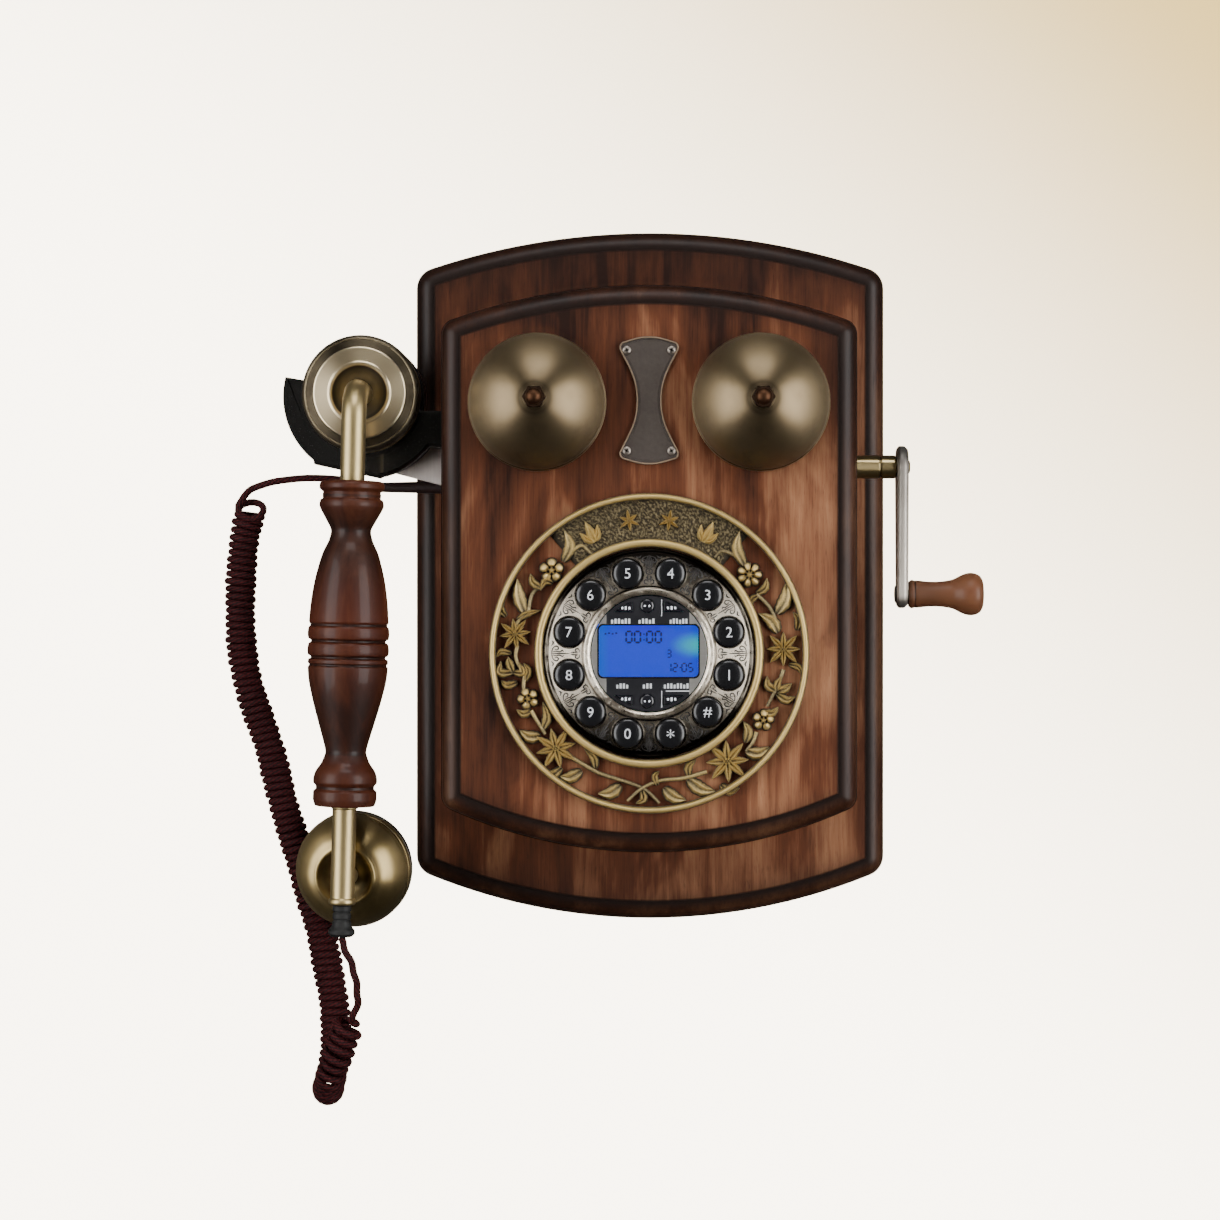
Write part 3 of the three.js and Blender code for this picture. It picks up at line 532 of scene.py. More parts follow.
def walnut():
    """Lacquered walnut boards: grain up the board, stain rubbed into the moulded edges with painted shade and a painted
    highlight laid in by the tone, and painted shade towards the top and bottom of the boards.
    """
    wood = settings().wood
    f = Finish("walnut")
    broad = f.noise(32, (1, 1, 0.3), 3, 0.55, 1.0)
    figure = f.noise(120, (1, 1, 0.09), 5, 0.6, 0.9)
    streak = f.noise(900, (1, 1, 0.03), 4, 0.7)
    pores = f.noise(2600, (1, 1, 0.06), 2, 0.6).above(0.56, 0.70)
    blot = f.noise(46, (1, 1, 0.45), 3, 0.6, 1.2).above(0.60, 0.78)
    across, up = f.axis(0), f.axis(2)
    left_plank = 1 - across.above(-0.0345, -0.0338)
    right_plank = across.above(0.0455, 0.0462)
    # Painted shade: the boards darken towards their top, through painted_top_shade and through a steady fall with
    # height.
    painted_top_shade = up.above(0.03, 0.14)
    amount = broad * 0.75 + figure * 0.40 + streak * 0.25 - 0.205 - left_plank * 0.04 + right_plank * 0.06
    amount = amount - painted_top_shade * 0.07 - up * 0.25
    grain = f.ramp(amount, (0.28, tuple(wood.dark)), (0.50, tuple(wood.warm)), (0.80, tuple(wood.light)))
    # Painted shade at the top and bottom ends of the boards, mixed in with the real dark blots and pores.
    ends = up.above(0.112, 0.135) * 0.45 + (0 - up).above(0.118, 0.136) * 0.3
    spots_and_end_shade = f.mix(blot * 0.5 + pores * 0.35 + ends, grain, tuple(wood.dark))
    tint = f.mix(f.tone().above(0.0, 0.9), tuple(wood.edge), spots_and_end_shade)
    return f.made(
        Base_Color=tint,
        Roughness=0.50 - figure * 0.08 + pores * 0.1,
        Normal=f.bump(figure * 0.3 + streak * 0.4 - pores * 0.15, 0.03),
        Coat_Weight=0.03,
        Coat_Roughness=0.25,
        IOR=1.24,
    )


def turned_wood(name, stain):
    """Dark glossy stain over turned wood, reddish where the tone is high."""
    wood = settings().wood
    f = Finish(name)
    figure = f.noise(90, (1, 1, 0.12), 4, 0.6, 0.8)
    streak = f.noise(650, (1, 1, 0.04), 3, 0.6)
    red = f.mix(figure.above(0.35, 0.7) * 0.7 + streak * 0.3, tuple(stain), tuple(wood.warm))
    tint = f.mix(f.tone() * 0.75 + figure.above(0.35, 0.65) * 0.25, tuple(wood.edge), red)
    return f.made(
        Base_Color=tint,
        Roughness=0.46 + streak * 0.08,
        Normal=f.bump(streak, 0.012),
        Coat_Weight=0.07,
        Coat_Roughness=0.08,
        IOR=1.25,
    )


def brass(name="brass", spun=True, rough=0.30, tarnish=0.35, tint=None):
    """Antique brass with patina where the tone is low; spun brass is brushed round the piece's own axis."""
    metal = settings().metal
    f = Finish(name)
    clouds = f.noise(55, (1, 1, 1), 4, 0.6)
    specks = f.noise(900, (1, 1, 1), 2, 0.5)
    place = f.place()
    flat = f.node("ShaderNodeVectorMath", {"operation": "MULTIPLY"}, {0: place, 1: (1, 1, 0)})
    radius = f.node("ShaderNodeVectorMath", {"operation": "LENGTH"}, {0: flat}, "Value")
    ring_place = f.node("ShaderNodeCombineXYZ", None, {0: radius, 1: clouds * 0.0006})
    rings = f.noise(2600, (1, 1, 1), 2, 0.6, where=ring_place) if spun else specks
    stain = (1 - f.tone() + clouds.above(0.45, 0.85) * tarnish * 0.6).above(-0.2, 1.2)
    return f.made(
        Base_Color=f.mix(stain, tuple(tint or metal.brass), tuple(metal.shade)),
        Metallic=1.0,
        Roughness=rough + rings * 0.06 + clouds * 0.08 + (1 - f.tone()) * 0.15,
        Anisotropic=0.7 if spun else 0.0,
        Anisotropic_Rotation=0.25,
        Normal=f.bump(rings * 0.7 + specks * 0.3, 0.006),
    )


def cast_gold():
    """Cast ring: bright gold on the crests, dark brown patina in the hollows; as the tone follows height, the darkening
    is also painted shade on the low, sloping sides of the relief.
    """
    metal = settings().metal
    f = Finish("cast_gold")
    grain = f.noise(1500, (1, 1, 1), 3, 0.6)
    wear_and_shade = f.tone() + (grain - 0.5) * 0.5
    tint = f.ramp(
        wear_and_shade, (0.12, srgb("0c0905")), (0.42, srgb("2a2214")), (0.72, srgb("6e6246")), (0.97, tuple(metal.gold))
    )
    return f.made(
        Base_Color=tint,
        Metallic=wear_and_shade.above(0.05, 0.4) * 0.65 + 0.1,
        Roughness=0.60 - wear_and_shade * 0.12,
        Normal=f.bump(grain, 0.05),
    )


def nickel():
    """Antique nickel of the keypad plate, with dark filling in the engraving and painted shade darkening its top and
    bottom.
    """
    metal = settings().metal
    f = Finish("antique_nickel")
    fine = f.noise(1300, (1, 1, 1), 4, 0.65)
    leaf = f.cells(420, "SMOOTH_F1")
    etched = (fine * 0.6 + leaf * 0.5).above(0.5, 0.72)
    # Painted shade: the plate darkens towards its top and bottom, a painted dark reflection of the room between the
    # side lights on the brushed nickel.
    ends = f.axis(1).function("ABSOLUTE").above(0.016, 0.042)
    filling_and_shade = (1 - f.tone()) * 0.85 + etched * 0.14 + ends * (0.52 + fine * 0.3)
    tint = f.mix(filling_and_shade, tuple(metal.nickel), srgb("14110e"))
    return f.made(
        Base_Color=tint,
        Metallic=1.0,
        Roughness=0.25 + etched * 0.25 + fine * 0.06,
        Anisotropic=0.8,
        Anisotropic_Rotation=0.25,
        Normal=f.bump(etched + fine * 0.3, 0.03),
    )


def bronze():
    metal = settings().metal
    f = Finish("aged_bronze")
    pits = f.noise(750, (1, 1, 1), 4, 0.65)
    clouds = f.noise(70, (1, 1, 1), 3, 0.6)
    dull = f.mix(clouds * 0.5 + pits * 0.3, tuple(metal.bronze), srgb("2c2723"))
    tint = f.mix(f.tone().above(0.5, 0.9), dull, srgb("8c7863"))
    return f.made(
        Base_Color=tint, Metallic=0.85, Roughness=0.50 + pits * 0.15, Normal=f.bump(pits, 0.06)
    )


def steel(name="satin_steel", tint="b9b0a8", rough=0.32, metallic=1.0):
    f = Finish(name)
    lines = f.noise(1100, (1, 1, 0.06), 3, 0.6)
    clouds = f.noise(60, (1, 1, 1), 2, 0.5)
    clean = f.mix(clouds * 0.5 + lines * 0.25, srgb(tint), srgb("6e665f"))
    colours = f.mix(f.tone(), srgb("1d1b1a"), clean)
    return f.made(
        Base_Color=colours, Metallic=metallic, Roughness=rough + lines * 0.14, Normal=f.bump(lines, 0.02)
    )


def plastic(name, tint, rough=0.35, grain=0.03, coat=0.0):
    """Moulded plastic with a fine grain."""
    f = Finish(name)
    fine = f.noise(1800, (1, 1, 1), 3, 0.6)
    clouds = f.noise(80, (1, 1, 1), 2, 0.5)
    lift = f.mix(clouds * 0.6, srgb(tint), tuple(min(1.0, c * 1.6 + 0.004) for c in srgb(tint)))
    return f.made(
        Base_Color=lift, Roughness=rough + fine * 0.08, Normal=f.bump(fine, grain), Coat_Weight=coat, Coat_Roughness=0.05,
        IOR=1.36,
    )


def ink(name, tint, rough=0.45):
    """Printed or moulded marks, very slightly uneven."""
    f = Finish(name)
    wear = f.noise(1600, (1, 1, 1), 3, 0.6)
    faded = f.mix(wear.above(0.5, 0.9) * 0.25, tint, tuple(c * 0.6 for c in tint))
    return f.made(Base_Color=faded, Roughness=rough)


def lit_screen():
    """The backlit display: blue, more violet at the top and cyan beside its lamp at the right."""
    f = Finish("lit_screen")
    low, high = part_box("lcd_window")
    across = f.axis(0) / (high.x - low.x) + 0.5
    up = f.axis(2) / (high.z - low.z) + 0.5
    lamp = ((1 - across) ** 2 * 9 + (up - 0.62) ** 2 * 9) ** 0.5
    violet = ((across - 0.45) ** 2 * 4 + (up - 1.05) ** 2 * 5) ** 0.5
    fine = f.noise(1200, (1, 1, 1), 1, 0.5)
    blue = tuple(settings().dial.screen)
    base = f.mix(across.above(0.0, 0.12) * 0.6 + 0.4, srgb("0070f0"), blue)
    high_blue = f.mix(1 - violet.above(0.15, 0.75), base, srgb("1010ff"))
    tint = f.mix(1 - lamp.above(0.05, 0.95), high_blue, srgb("00d0e0"))
    return f.made(
        Base_Color=srgb("010208"),
        Emission_Color=f.mix(fine * 0.15, tint, srgb("0020a0")),
        Emission_Strength=0.85,
        Roughness=0.5,
    )


def window_glass():
    f = Finish("window_glass")
    smear = f.noise(40, (1, 1, 1), 2, 0.5)
    return f.made(Base_Color=srgb("06080c"), Roughness=smear * 0.03 + 0.05, Alpha=0.03, IOR=1.3)


def braid():
    """Braided thread round the cord: two sets of slanting threads in dark and red."""
    cord = settings().cord
    f = Finish("braid")
    uv = f.node("ShaderNodeTexCoord", output="UV")
    around = f.node("ShaderNodeSeparateXYZ", None, {0: uv}, 0)
    along = f.node("ShaderNodeSeparateXYZ", None, {0: uv}, 1)
    threads, lay = 6, 2 * math.pi
    right = ((around * threads + along * 1.1) * lay).function("SINE")
    left = ((around * threads - along * 1.1) * lay).function("SINE")
    weave = right.maths("MAXIMUM", right, left) * 0.5 + 0.5
    over = (right - left).above(-0.3, 0.3)
    clouds = f.noise(70, (1, 1, 1), 3, 0.6)
    fuzz = f.noise(3000, (1, 1, 1), 2, 0.6)
    thread = f.mix(over * 0.55 + clouds * 0.35, tuple(cord.dark), tuple(cord.light))
    tint = f.mix(weave.above(0.15, 0.8), srgb("0b0405"), thread)
    return f.made(
        Base_Color=tint,
        Roughness=0.62 + fuzz * 0.2,
        Normal=f.bump(weave * 0.8 + fuzz * 0.2, 0.22),
        IOR=1.2,
    )


def paper(name, glow, warmer):
    """The matt floor and walls of the room: pale, and the backdrop warmer towards the upper right."""
    studio = settings().studio
    f = Finish(name)
    corner = (f.axis(0) * 0.45 + f.axis(2) * 0.5).above(-0.25, 0.8) * (1 - f.axis(0).above(1.0, 2.4))
    slope = corner * (1 - f.axis(2).above(1.0, 2.4)) if warmer else f.noise(0.4) * 0.04
    tint = f.mix(slope, tuple(studio.paper), tuple(studio.corner))
    return f.made(Base_Color=tint, Roughness=0.9, Emission_Color=tint, Emission_Strength=glow)


# ---------------------------------------------------------------- stage

# The camera stands level, straight in front; its lens axis goes through EYE, and the shift frames the cord.
EYE = (5.8, -1290, -15)
SEEN_WIDTH = 512.4 # width of the picture at the front panel
PANEL_OUT = 90
FLOOR_DROP = 900
WALL_BACK = 2600
ROOM = 6000 # half the width of the floor


def softbox(name, place, aim, width, height, power):
    light = bpy.data.lights.new(name, "AREA")
    light.shape = "RECTANGLE"
    light.size, light.size_y = width * MM, height * MM
    light.energy = power
    lamp = bpy.data.objects.new(name, light)
    bpy.context.scene.collection.objects.link(lamp)
    lamp.location = Vector(place) * MM
    lamp.rotation_euler = (Vector(aim) - Vector(place)).to_track_quat("-Z", "Y").to_euler()
    return lamp


def make_stage():
    studio = settings().studio
    scene = bpy.context.scene
    lens = bpy.data.cameras.new("camera")
    distance = -EYE[1] - PANEL_OUT
    lens.lens = lens.sensor_width * distance / SEEN_WIDTH
    lens.shift_x, lens.shift_y = -0.0434, -0.001
    camera = bpy.data.objects.new("camera", lens)
    scene.collection.objects.link(camera)
    camera.location = Vector(EYE) * MM
    camera.rotation_euler = (math.pi / 2, 0, 0)
    scene.camera = camera
    world = bpy.data.worlds.new("studio")
    world.use_nodes = True
    world.node_tree.nodes["Background"].inputs["Color"].default_value = (*srgb("b9b4aa"), 1)
    world.node_tree.nodes["Background"].inputs["Strength"].default_value = studio.fill
    scene.world = world
    softbox("left_softbox", (-1150, -1000, 60), (0, -60, 0), 850, 1400, studio.key * 1.3)
    softbox("right_softbox", (1150, -1000, 60), (0, -60, 0), 850, 1400, studio.key * 1.6)
    softbox("top_softbox", (0, -900, 1300), (0, -60, 0), 900, 500, studio.top)
    softbox("rear_softbox", (0, 1500, 700), (0, 0, 0), 1600, 1200, studio.key * 1.2).visible_glossy = False
    for name, low, high in (
        ("floor", (-ROOM, -ROOM, -FLOOR_DROP - 20), (ROOM, WALL_BACK, -FLOOR_DROP)),
        ("backdrop", (-ROOM, WALL_BACK, -FLOOR_DROP), (ROOM, WALL_BACK + 20, 5000)),
        ("left_wall", (-ROOM - 20, -ROOM, -FLOOR_DROP), (-ROOM, WALL_BACK, 5000)),
        ("right_wall", (ROOM, -ROOM, -FLOOR_DROP), (ROOM + 20, WALL_BACK, 5000)),
        ("rear_wall", (-ROOM, -ROOM - 20, -FLOOR_DROP), (ROOM, -ROOM, 5000)),
    ):
        sheet = bare(name, block(low, high, 1))
        glow = studio.glow / 8 if name == "floor" else studio.glow
        sheet.data.materials.append(paper(name + "_paper", glow, name == "backdrop"))
        sheet.visible_diffuse = sheet.visible_glossy = sheet.visible_shadow = False


# ---------------------------------------------------------------- cord

LEAD_ROUTE = [
    (-121.5, -38, 38.2), (-123.5, -38, 38.4), (-127.5, -38, 39.8), (-133.5, -38, 41.3), (-141.3, -38, 42.1),
    (-151.3, -38, 42.2), (-161.4, -38, 41.2), (-167, -38, 40.1), (-173.2, -38, 38),
]
COIL_ROUTE = [
    (-174.4, -38, 35.4), (-175.2, -38, 26), (-177.2, -38.3, 17.9), (-178.5, -39, 4.6), (-179, -40, -9),
    (-178.4, -41, -30.4), (-174.6, -42, -50.5), (-165.6, -43.5, -76.3), (-160, -45, -98.4), (-153, -46, -120.9),
    (-148.3, -46.5, -137.5), (-143.4, -47, -154), (-139.6, -48.5, -172), (-136.6, -50.5, -188),
    (-135.8, -52.5, -202), (-137, -57, -214.6), (-137.4, -68, -220.4), (-135.4, -79, -214.4),
    (-132, -83.8, -204.6), (-128.8, -85.6, -196), (-126.2, -87, -189.2),
]
TAIL_ROUTE = [
    (-124.9, -87.8, -187), (-122.6, -90, -181.6), (-122.4, -93, -174), (-124, -96, -164.4), (-127, -97.7, -157),
    (-128.3, -98, -152.2),
]
# The curl starts as one open turn that faces the front, then its axis bends down into the coil's route.
FIRST_TURN = [(-174.4, -41.8, 29), (-174.4, -40.6, 28.8), (-174.6, -39.2, 27.6)]
FIRST_ANGLE = 145
LEAD_END = [(-175.6, -39.3, 36.4), (-177.6, -40.6, 33.8)]


def curled(axis, cord):
    """The wire's centreline as it winds round the axis of the coil and runs out along the tail."""
    turn, pitch = cord.turn / MM, cord.pitch / MM
    bend = len(axis) - 1
    across, phase, since = Vector((1, 0, 0)), math.radians(FIRST_ANGLE), 0.0
    step = 2 * math.pi / cord.steps
    wire = []
    for i in range(bend):
        along = axis[i + 1] - axis[i]
        tangent = along.normalized()
        across = (across - tangent * across.dot(tangent)).normalized()
        up = across.cross(tangent)
        place = i / bend
        slack = smoothstep(0.775, 0.80, place)
        opening = 1 + 0.35 * smoothstep(0.66, 0.72, place) + 1.8 * slack
        phase += 2 * math.pi * along.length / (pitch * opening)
        since += 2 * math.pi * along.length / (pitch * opening)
        if since >= step:
            since -= step
            wobble = 1 + 0.035 * math.sin(phase * 0.37) + 0.03 * math.sin(phase * 0.11)
            radius = turn * wobble * (1 - 0.95 * slack) * (1 - smoothstep(0.985, 0.998, place))
            wire.append(axis[i] + (across * math.cos(phase) + up * math.sin(phase)) * radius)
    return [*wire, axis[-1]]


def make_cord():
    cord = settings().cord
    lead = smooth_line([*LEAD_ROUTE, *LEAD_END], 8)
    axis = smooth_line([*FIRST_TURN, *COIL_ROUTE[1:], *TAIL_ROUTE], 160)
    wire = [*lead[:-1], *curled(axis, cord)]
    sides = 12
    shape = swept(wire, cord.wire / MM / 2, sides)
    thing = bare("curly_cord", shape)
    lengths = [0.0]
    for a, b in zip(wire, wire[1:]):
        lengths.append(lengths[-1] + (b - a).length)
    lay_threads(thing.data, wire, lengths, sides, cord.wire / MM)
    thing.data.materials.append(braid())
    thing.data.shade_smooth()
    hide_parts("cord_lead", "cord_coil", "cord_tail")
    [point * MM for point in wire]
    make_sleeve()
    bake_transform(thing)


def lay_threads(mesh, wire, lengths, sides, width):
    """A map with one turn across and the cord's own length, in diameters, along."""
    layer = mesh.uv_layers.new(name="braid")
    count = len(wire)
    for face in mesh.polygons:
        corners = [(mesh.loops[k].vertex_index) for k in face.loop_indices]
        rows, columns = [v // sides for v in corners], [v % sides for v in corners]
        wraps = max(columns) - min(columns) > sides / 2
        for k, row, column in zip(face.loop_indices, rows, columns):
            turn = (column + sides if wraps and column < sides / 2 else column) / sides
            layer.data[k].uv = (turn, lengths[min(row, count - 1)] / width)


def make_sleeve():
    """The rubber sleeve that guards the cord where it leaves the case, thinner towards its tip."""
    low, high = box("cord_grommet")
    inner, tip = high.x, low.x
    shoulder = -box("case_frame")[0].x
    reach = -tip - shoulder
    profile = [
        (0, -inner), (3.2, -inner), (3.2, shoulder + 0.3), (4.6, shoulder + 0.3, 0.4), (4.6, shoulder + 1.8, 0.6),
        (2.9, shoulder + 2.6, 0.8), (2.6, shoulder + reach * 0.4, 4), (2.1, -tip - 2.4, 4), (2.3, -tip - 1.6, 0.5),
        (2.3, -tip - 0.5, 0.5), (1.9, -tip, 0.3), (0, -tip),
    ]
    centre = middle("cord_grommet")
    rubber = plastic("sleeve_rubber", "1a0c0a", 0.5)
    place = at(0, centre.y, centre.z) @ LEFT
    return piece("cord_sleeve", turned(eased(profile, 0.3, 3), 32), rubber, ["cord_grommet"], place)


# ---------------------------------------------------------------- boards

# Radius of the arched top, of the arched bottom and of the corners of each board.
BOARD_CURVES = {"back_board": (310, 262, 9.5), "front_panel": (246, 205, 6.6)}
CASE_INSET = 2.9 # the case stands this far inside the front panel's edge
CASE_WALL = 9
FIELD_STEP = 0.9 # from the quarter round's end to the flat field


def board_outline(node):
    """Gives a function from an inset to the outline of an arched board, counter-clockwise."""
    low, high = box(node)
    top_arch, bottom_arch, corner = BOARD_CURVES[node]

    def outline(amount, arch_steps=30, corner_steps=7):
        radius = max(corner - amount, 0.8)
        x = high.x - amount - radius
        points = []
        for centre, arch, sign in ((high.z - top_arch, top_arch, 1), (low.z + bottom_arch, bottom_arch, -1)):
            rise = math.sqrt((arch - amount - radius) ** 2 - x ** 2)
            lean, start = math.degrees(math.atan2(rise, x)), 90 - 90 * sign
            z = centre + sign * rise
            points += arc(sign * x, z, radius, start, start + lean, corner_steps)[:-1]
            points += arc(0, centre, arch - amount, start + lean, start + 180 - lean, arch_steps)[:-1]
            points += arc(-sign * x, z, radius, start + 180 - lean, start + 180, corner_steps)
        return points

    return outline


def edge_tone(node):
    """The stain of a board by the distance from its edge: dark in the moulding's steps, clear in the field. The
    darkness in the step and on the field near the edge is painted shade, and the lighter band across the quarter round
    is a painted highlight.
    """
    low, high = box(node)
    top_arch, bottom_arch, _ = BOARD_CURVES[node]
    width = settings().wood.moulding_width / MM
    # Stops of distance and tone: dark stain at the outer edge, a painted highlight across the quarter round, painted
    # shade in the step at its foot, and painted shade fading out over the field's first 18 mm.
    stops = [
        (0, 0.1), (0.5, 0.26), (width * 0.45, 0.32), (width * 0.85, 0.15), (width, 0.0), (width + FIELD_STEP, 0.1),
        (width + 1.8, 0.55), (width + 8, 0.82), (width + 18, 1.0), (400, 1.0),
    ]

    def tone(point):
        top = top_arch - math.hypot(point.x, point.z - high.z + top_arch)
        bottom = bottom_arch - math.hypot(point.x, point.z - low.z - bottom_arch)
        distance = max(min(high.x - abs(point.x), top, bottom), 0)
        for (a, first), (b, second) in zip(stops, stops[1:]):
            if distance <= b:
                return first + (second - first) * (distance - a) / (b - a)
        return 1.0

    return tone


def moulded_levels(back, front):
    """A board's edge: a square side, a bead line, a quarter round, a step up and the flat field."""
    wood = settings().wood
    side, width = back + wood.moulding_side / MM, wood.moulding_width / MM
    drop, lip = 0.7, 0.35
    levels = [(0.8, back), (0.0, back + 0.8), (0.0, side - lip), (lip, side)]
    for i in range(1, 11):
        angle = math.radians(9 * i)
        levels.append((lip + (width - lip) * (1 - math.cos(angle)), side + (front - drop - side) * math.sin(angle)))
    field = width + FIELD_STEP
    levels += [(field - 0.15, front - drop), (field, front - drop + 0.15), (field, front - 0.2), (field + 0.2, front)]
    return levels + [(field + reach, front) for reach in (0.9, 3, 7, 12, 18)]


def rod(place, radius, back, front, sides=24):
    """A round bar that runs out from the wall at (x, z)."""
    return plate(arc(*place, radius, 0, 360, sides)[:-1], back, front, 0)


def bar(low, high):
    return plate([(low[0], low[2]), (high[0], low[2]), (high[0], high[2]), (low[0], high[2])], -high[1], -low[1], 0)


def make_boards():
    wood = walnut()
    back_low, back_high = box("back_board")
    hanger_low, hanger_high = box("hanger_plate")
    seat = bar((hanger_low.x - 0.3, -2.2, hanger_low.z - 0.3), (hanger_high.x + 0.3, 1, hanger_high.z + 0.3))
    pocket = bar((-7, -9, hanger_low.z + 1), (7, -2.1, hanger_high.z - 1.5))
    seat_and_pocket = seat.add(pocket)
    piece(
        "arched_back_board", levelled(board_outline("back_board"), moulded_levels(-back_high.y, -back_low.y)), wood,
        ["back_board"], cut=seat_and_pocket, tone=edge_tone("back_board"),
    )
    panel_low, panel_high = box("front_panel")
    through = (-panel_high.y - 1, -panel_low.y + 1)
    dial, bell, striker = middle("keypad_plate"), middle("bell_right"), box("ringer_clapper")[1]
    slot = striker.x - 2.2
    holes = rod((dial.x, dial.z), 43, *through, 96)
    for side in (-1, 1):
        holes.add(rod((side * bell.x, bell.z), 2.5, *through))
        holes.add(plate(rounded_rectangle(6.2, 6, 1.5, side * slot, bell.z), *through, 0))
    piece(
        "moulded_front_panel", levelled(board_outline("front_panel"), moulded_levels(-panel_high.y, -panel_low.y)),
        wood, ["front_panel"], cut=holes, tone=edge_tone("front_panel"),
    )
    make_case(wood)


def make_case(wood):
    """The box between the boards, with the holes for the crank, the cradle, the cord and the line."""
    low, high = box("case_frame")
    back, front = -high.y, -low.y
    outline = board_outline("front_panel")
    levels = [
        (CASE_WALL, back), (0.4, back), (0, back + 0.4), (0, front - 0.4), (0.4, front), (CASE_WALL - 0.4, front),
        (CASE_WALL, front - 0.4),
    ]
    rings = [[(x, -out, z) for x, z in outline(CASE_INSET + amount)] for amount, out in levels]
    crank, cord, jack = middle("crank_bush"), middle("cord_grommet"), middle("line_jack")
    wall = (high.x - CASE_WALL - 2, high.x + 2)
    fork = box("cradle_plate")
    openings = sideways_rod(wall, crank, 7.2, 40)
    openings.add(sideways_rod((-wall[1], -wall[0]), cord, 3.4, 24))
    openings.add(bar((-wall[1], -60.5, 50.5), (-wall[0], -43.5, fork[1].z + 7)))
    openings.add(bar((wall[0], jack.y - 6.3, jack.z - 5.3), (wall[1], jack.y + 6.3, jack.z + 5.3)))

    # The walls darken towards the boards at front and back: painted shade in the corners where they meet.
    def tone(point):
        ends = min(-point.y - back, front + point.y)
        return 0.35 + 0.5 * smoothstep(0, 12, ends)

    piece("case_walls", skinned(rings, around=True), wood, ["case_frame"], cut=openings, tone=tone)


def sideways_rod(span, centre, radius, sides):
    ends = [(x, centre.y, centre.z) for x in span]
    rings = [
        [(x, y + radius * math.cos(2 * math.pi * i / sides), z + radius * math.sin(2 * math.pi * i / sides))
         for i in range(sides)] for x, y, z in ends
    ]
    return skinned(rings)


# ---------------------------------------------------------------- bells and name plate


def make_bells():
    """Two spun bells on long screws with hexagonal domed heads."""
    skin = brass("spun_brass", rough=0.35, tarnish=0.7, tint=settings().metal.bell)
    dark = brass("copper_brown", spun=False, rough=0.42, tarnish=0.8, tint=srgb("402b1e"))
    for side in ("left", "right"):
        low, high = box(f"bell_{side}")
        centre = middle(f"bell_{side}")
        rim, crown, radius, wall = -high.y, -low.y, (high.x - low.x) / 2, 1.6
        rise = crown - rim
        dome = [math.radians(8 + 3 * i) for i in range(24)]
        outside = [(radius * math.cos(t) - 0.25 * (1 - i / 23), rim + rise * math.sin(t)) for i, t in enumerate(dome)]
        inside = [((radius - wall) * math.cos(t) - 0.2, rim + (rise - wall) * math.sin(t)) for t in reversed(dome)]
        bead = [(radius - 1.5, rim), (radius - 0.3, rim, 0.3), (radius, rim + 0.4, 0.2), (radius, rim + 2.2, 0.4)]
        bead.append((radius - 0.7, rim + 2.9, 0.3))
        collar = [(4.9, crown - 0.7, 0.2), (4.7, crown - 0.1, 0.2), (2.6, crown), (2.6, crown - wall)]
        profile = [*eased(bead, 0.3, 4), *outside, *collar, *inside, (radius - 1.7, rim + 3.2), (radius - 1.5, rim)]
        shape = turned([tuple(point[:2]) for point in profile], 128)

        def tone(point):
            reach = math.hypot(point.x, point.y)
            hollow = smoothstep(4.6, 5.1, reach) - smoothstep(6.0, 9.0, reach)
            groove = smoothstep(rim + 2.3, rim + 2.8, point.z) * (1 - smoothstep(rim + 3.2, rim + 5, point.z))
            return 0.93 - 0.55 * hollow - 0.5 * groove

        place = at(centre.x, 0, centre.z) @ OUT
        piece(f"spun_bell_{side}", shape, skin, [f"bell_{side}"], place, tone=tone)
        screw = f"bell_screw_{side}"
        piece(f"acorn_screw_{side}", acorn_screw(screw), dark, [screw], place, tone=lambda p: 0.35 + 0.65 * (p.z > crown + 5))


def acorn_screw(node):
    """A shank, a hexagonal nut with chamfered corners and a domed end."""
    low, high = box(node)
    start, end = -high.y, -low.y
    nut, tip = end - 8, end
    flat = 4.25

    def ring(out, limit, six=True):
        points = []
        for i in range(72):
            angle = 2 * math.pi * i / 72
            side = (angle % (math.pi / 3)) - math.pi / 6
            radius = min(flat / math.cos(side), limit) if six else limit
            points.append((radius * math.cos(angle), radius * math.sin(angle), out))
        return points

    rings = [ring(start, 1.7, False), ring(start + 0.4, 2.1, False), ring(nut + 0.1, 2.1, False)]
    rings += [ring(nut, 4.1, False), ring(nut + 0.4, 4.9), ring(nut + 4.0, 4.9), ring(nut + 4.5, 4.2, False)]
    rings += [ring(nut + 4.6, 3.4, False), ring(nut + 4.8, 3.3, False)]
    rise = tip - nut - 4.8
    for i in range(12):
        angle = math.radians(12 + 6.5 * i)
        rings.append(ring(nut + 4.8 + rise * math.sin(angle), max(3.6 * math.cos(angle), 0.1), False))
    return skinned(rings)


def name_plate_outline():
    half, height, crown, waist = 12.6, 24.2, 28.2, 5.35
    quarter = [
        *bezier((waist, 0), (waist, 10), (9.6, 15), (half, height - 2.4), 14),
        *bezier((half, height - 2.4), (half, height - 0.6), (half - 0.8, height + 0.4), (half - 2.4, height + 0.7), 5),
        *bezier((half - 2.4, height + 0.7), (half - 7, crown - 1.9), (4, crown - 1.3), (0, crown - 1.3), 10),
    ]
    top = quarter + [(-x, z) for x, z in [(0, crown - 1.3), *reversed(quarter[1:])] if x > 0]
    return top + [(-x, -z) for x, z in top]


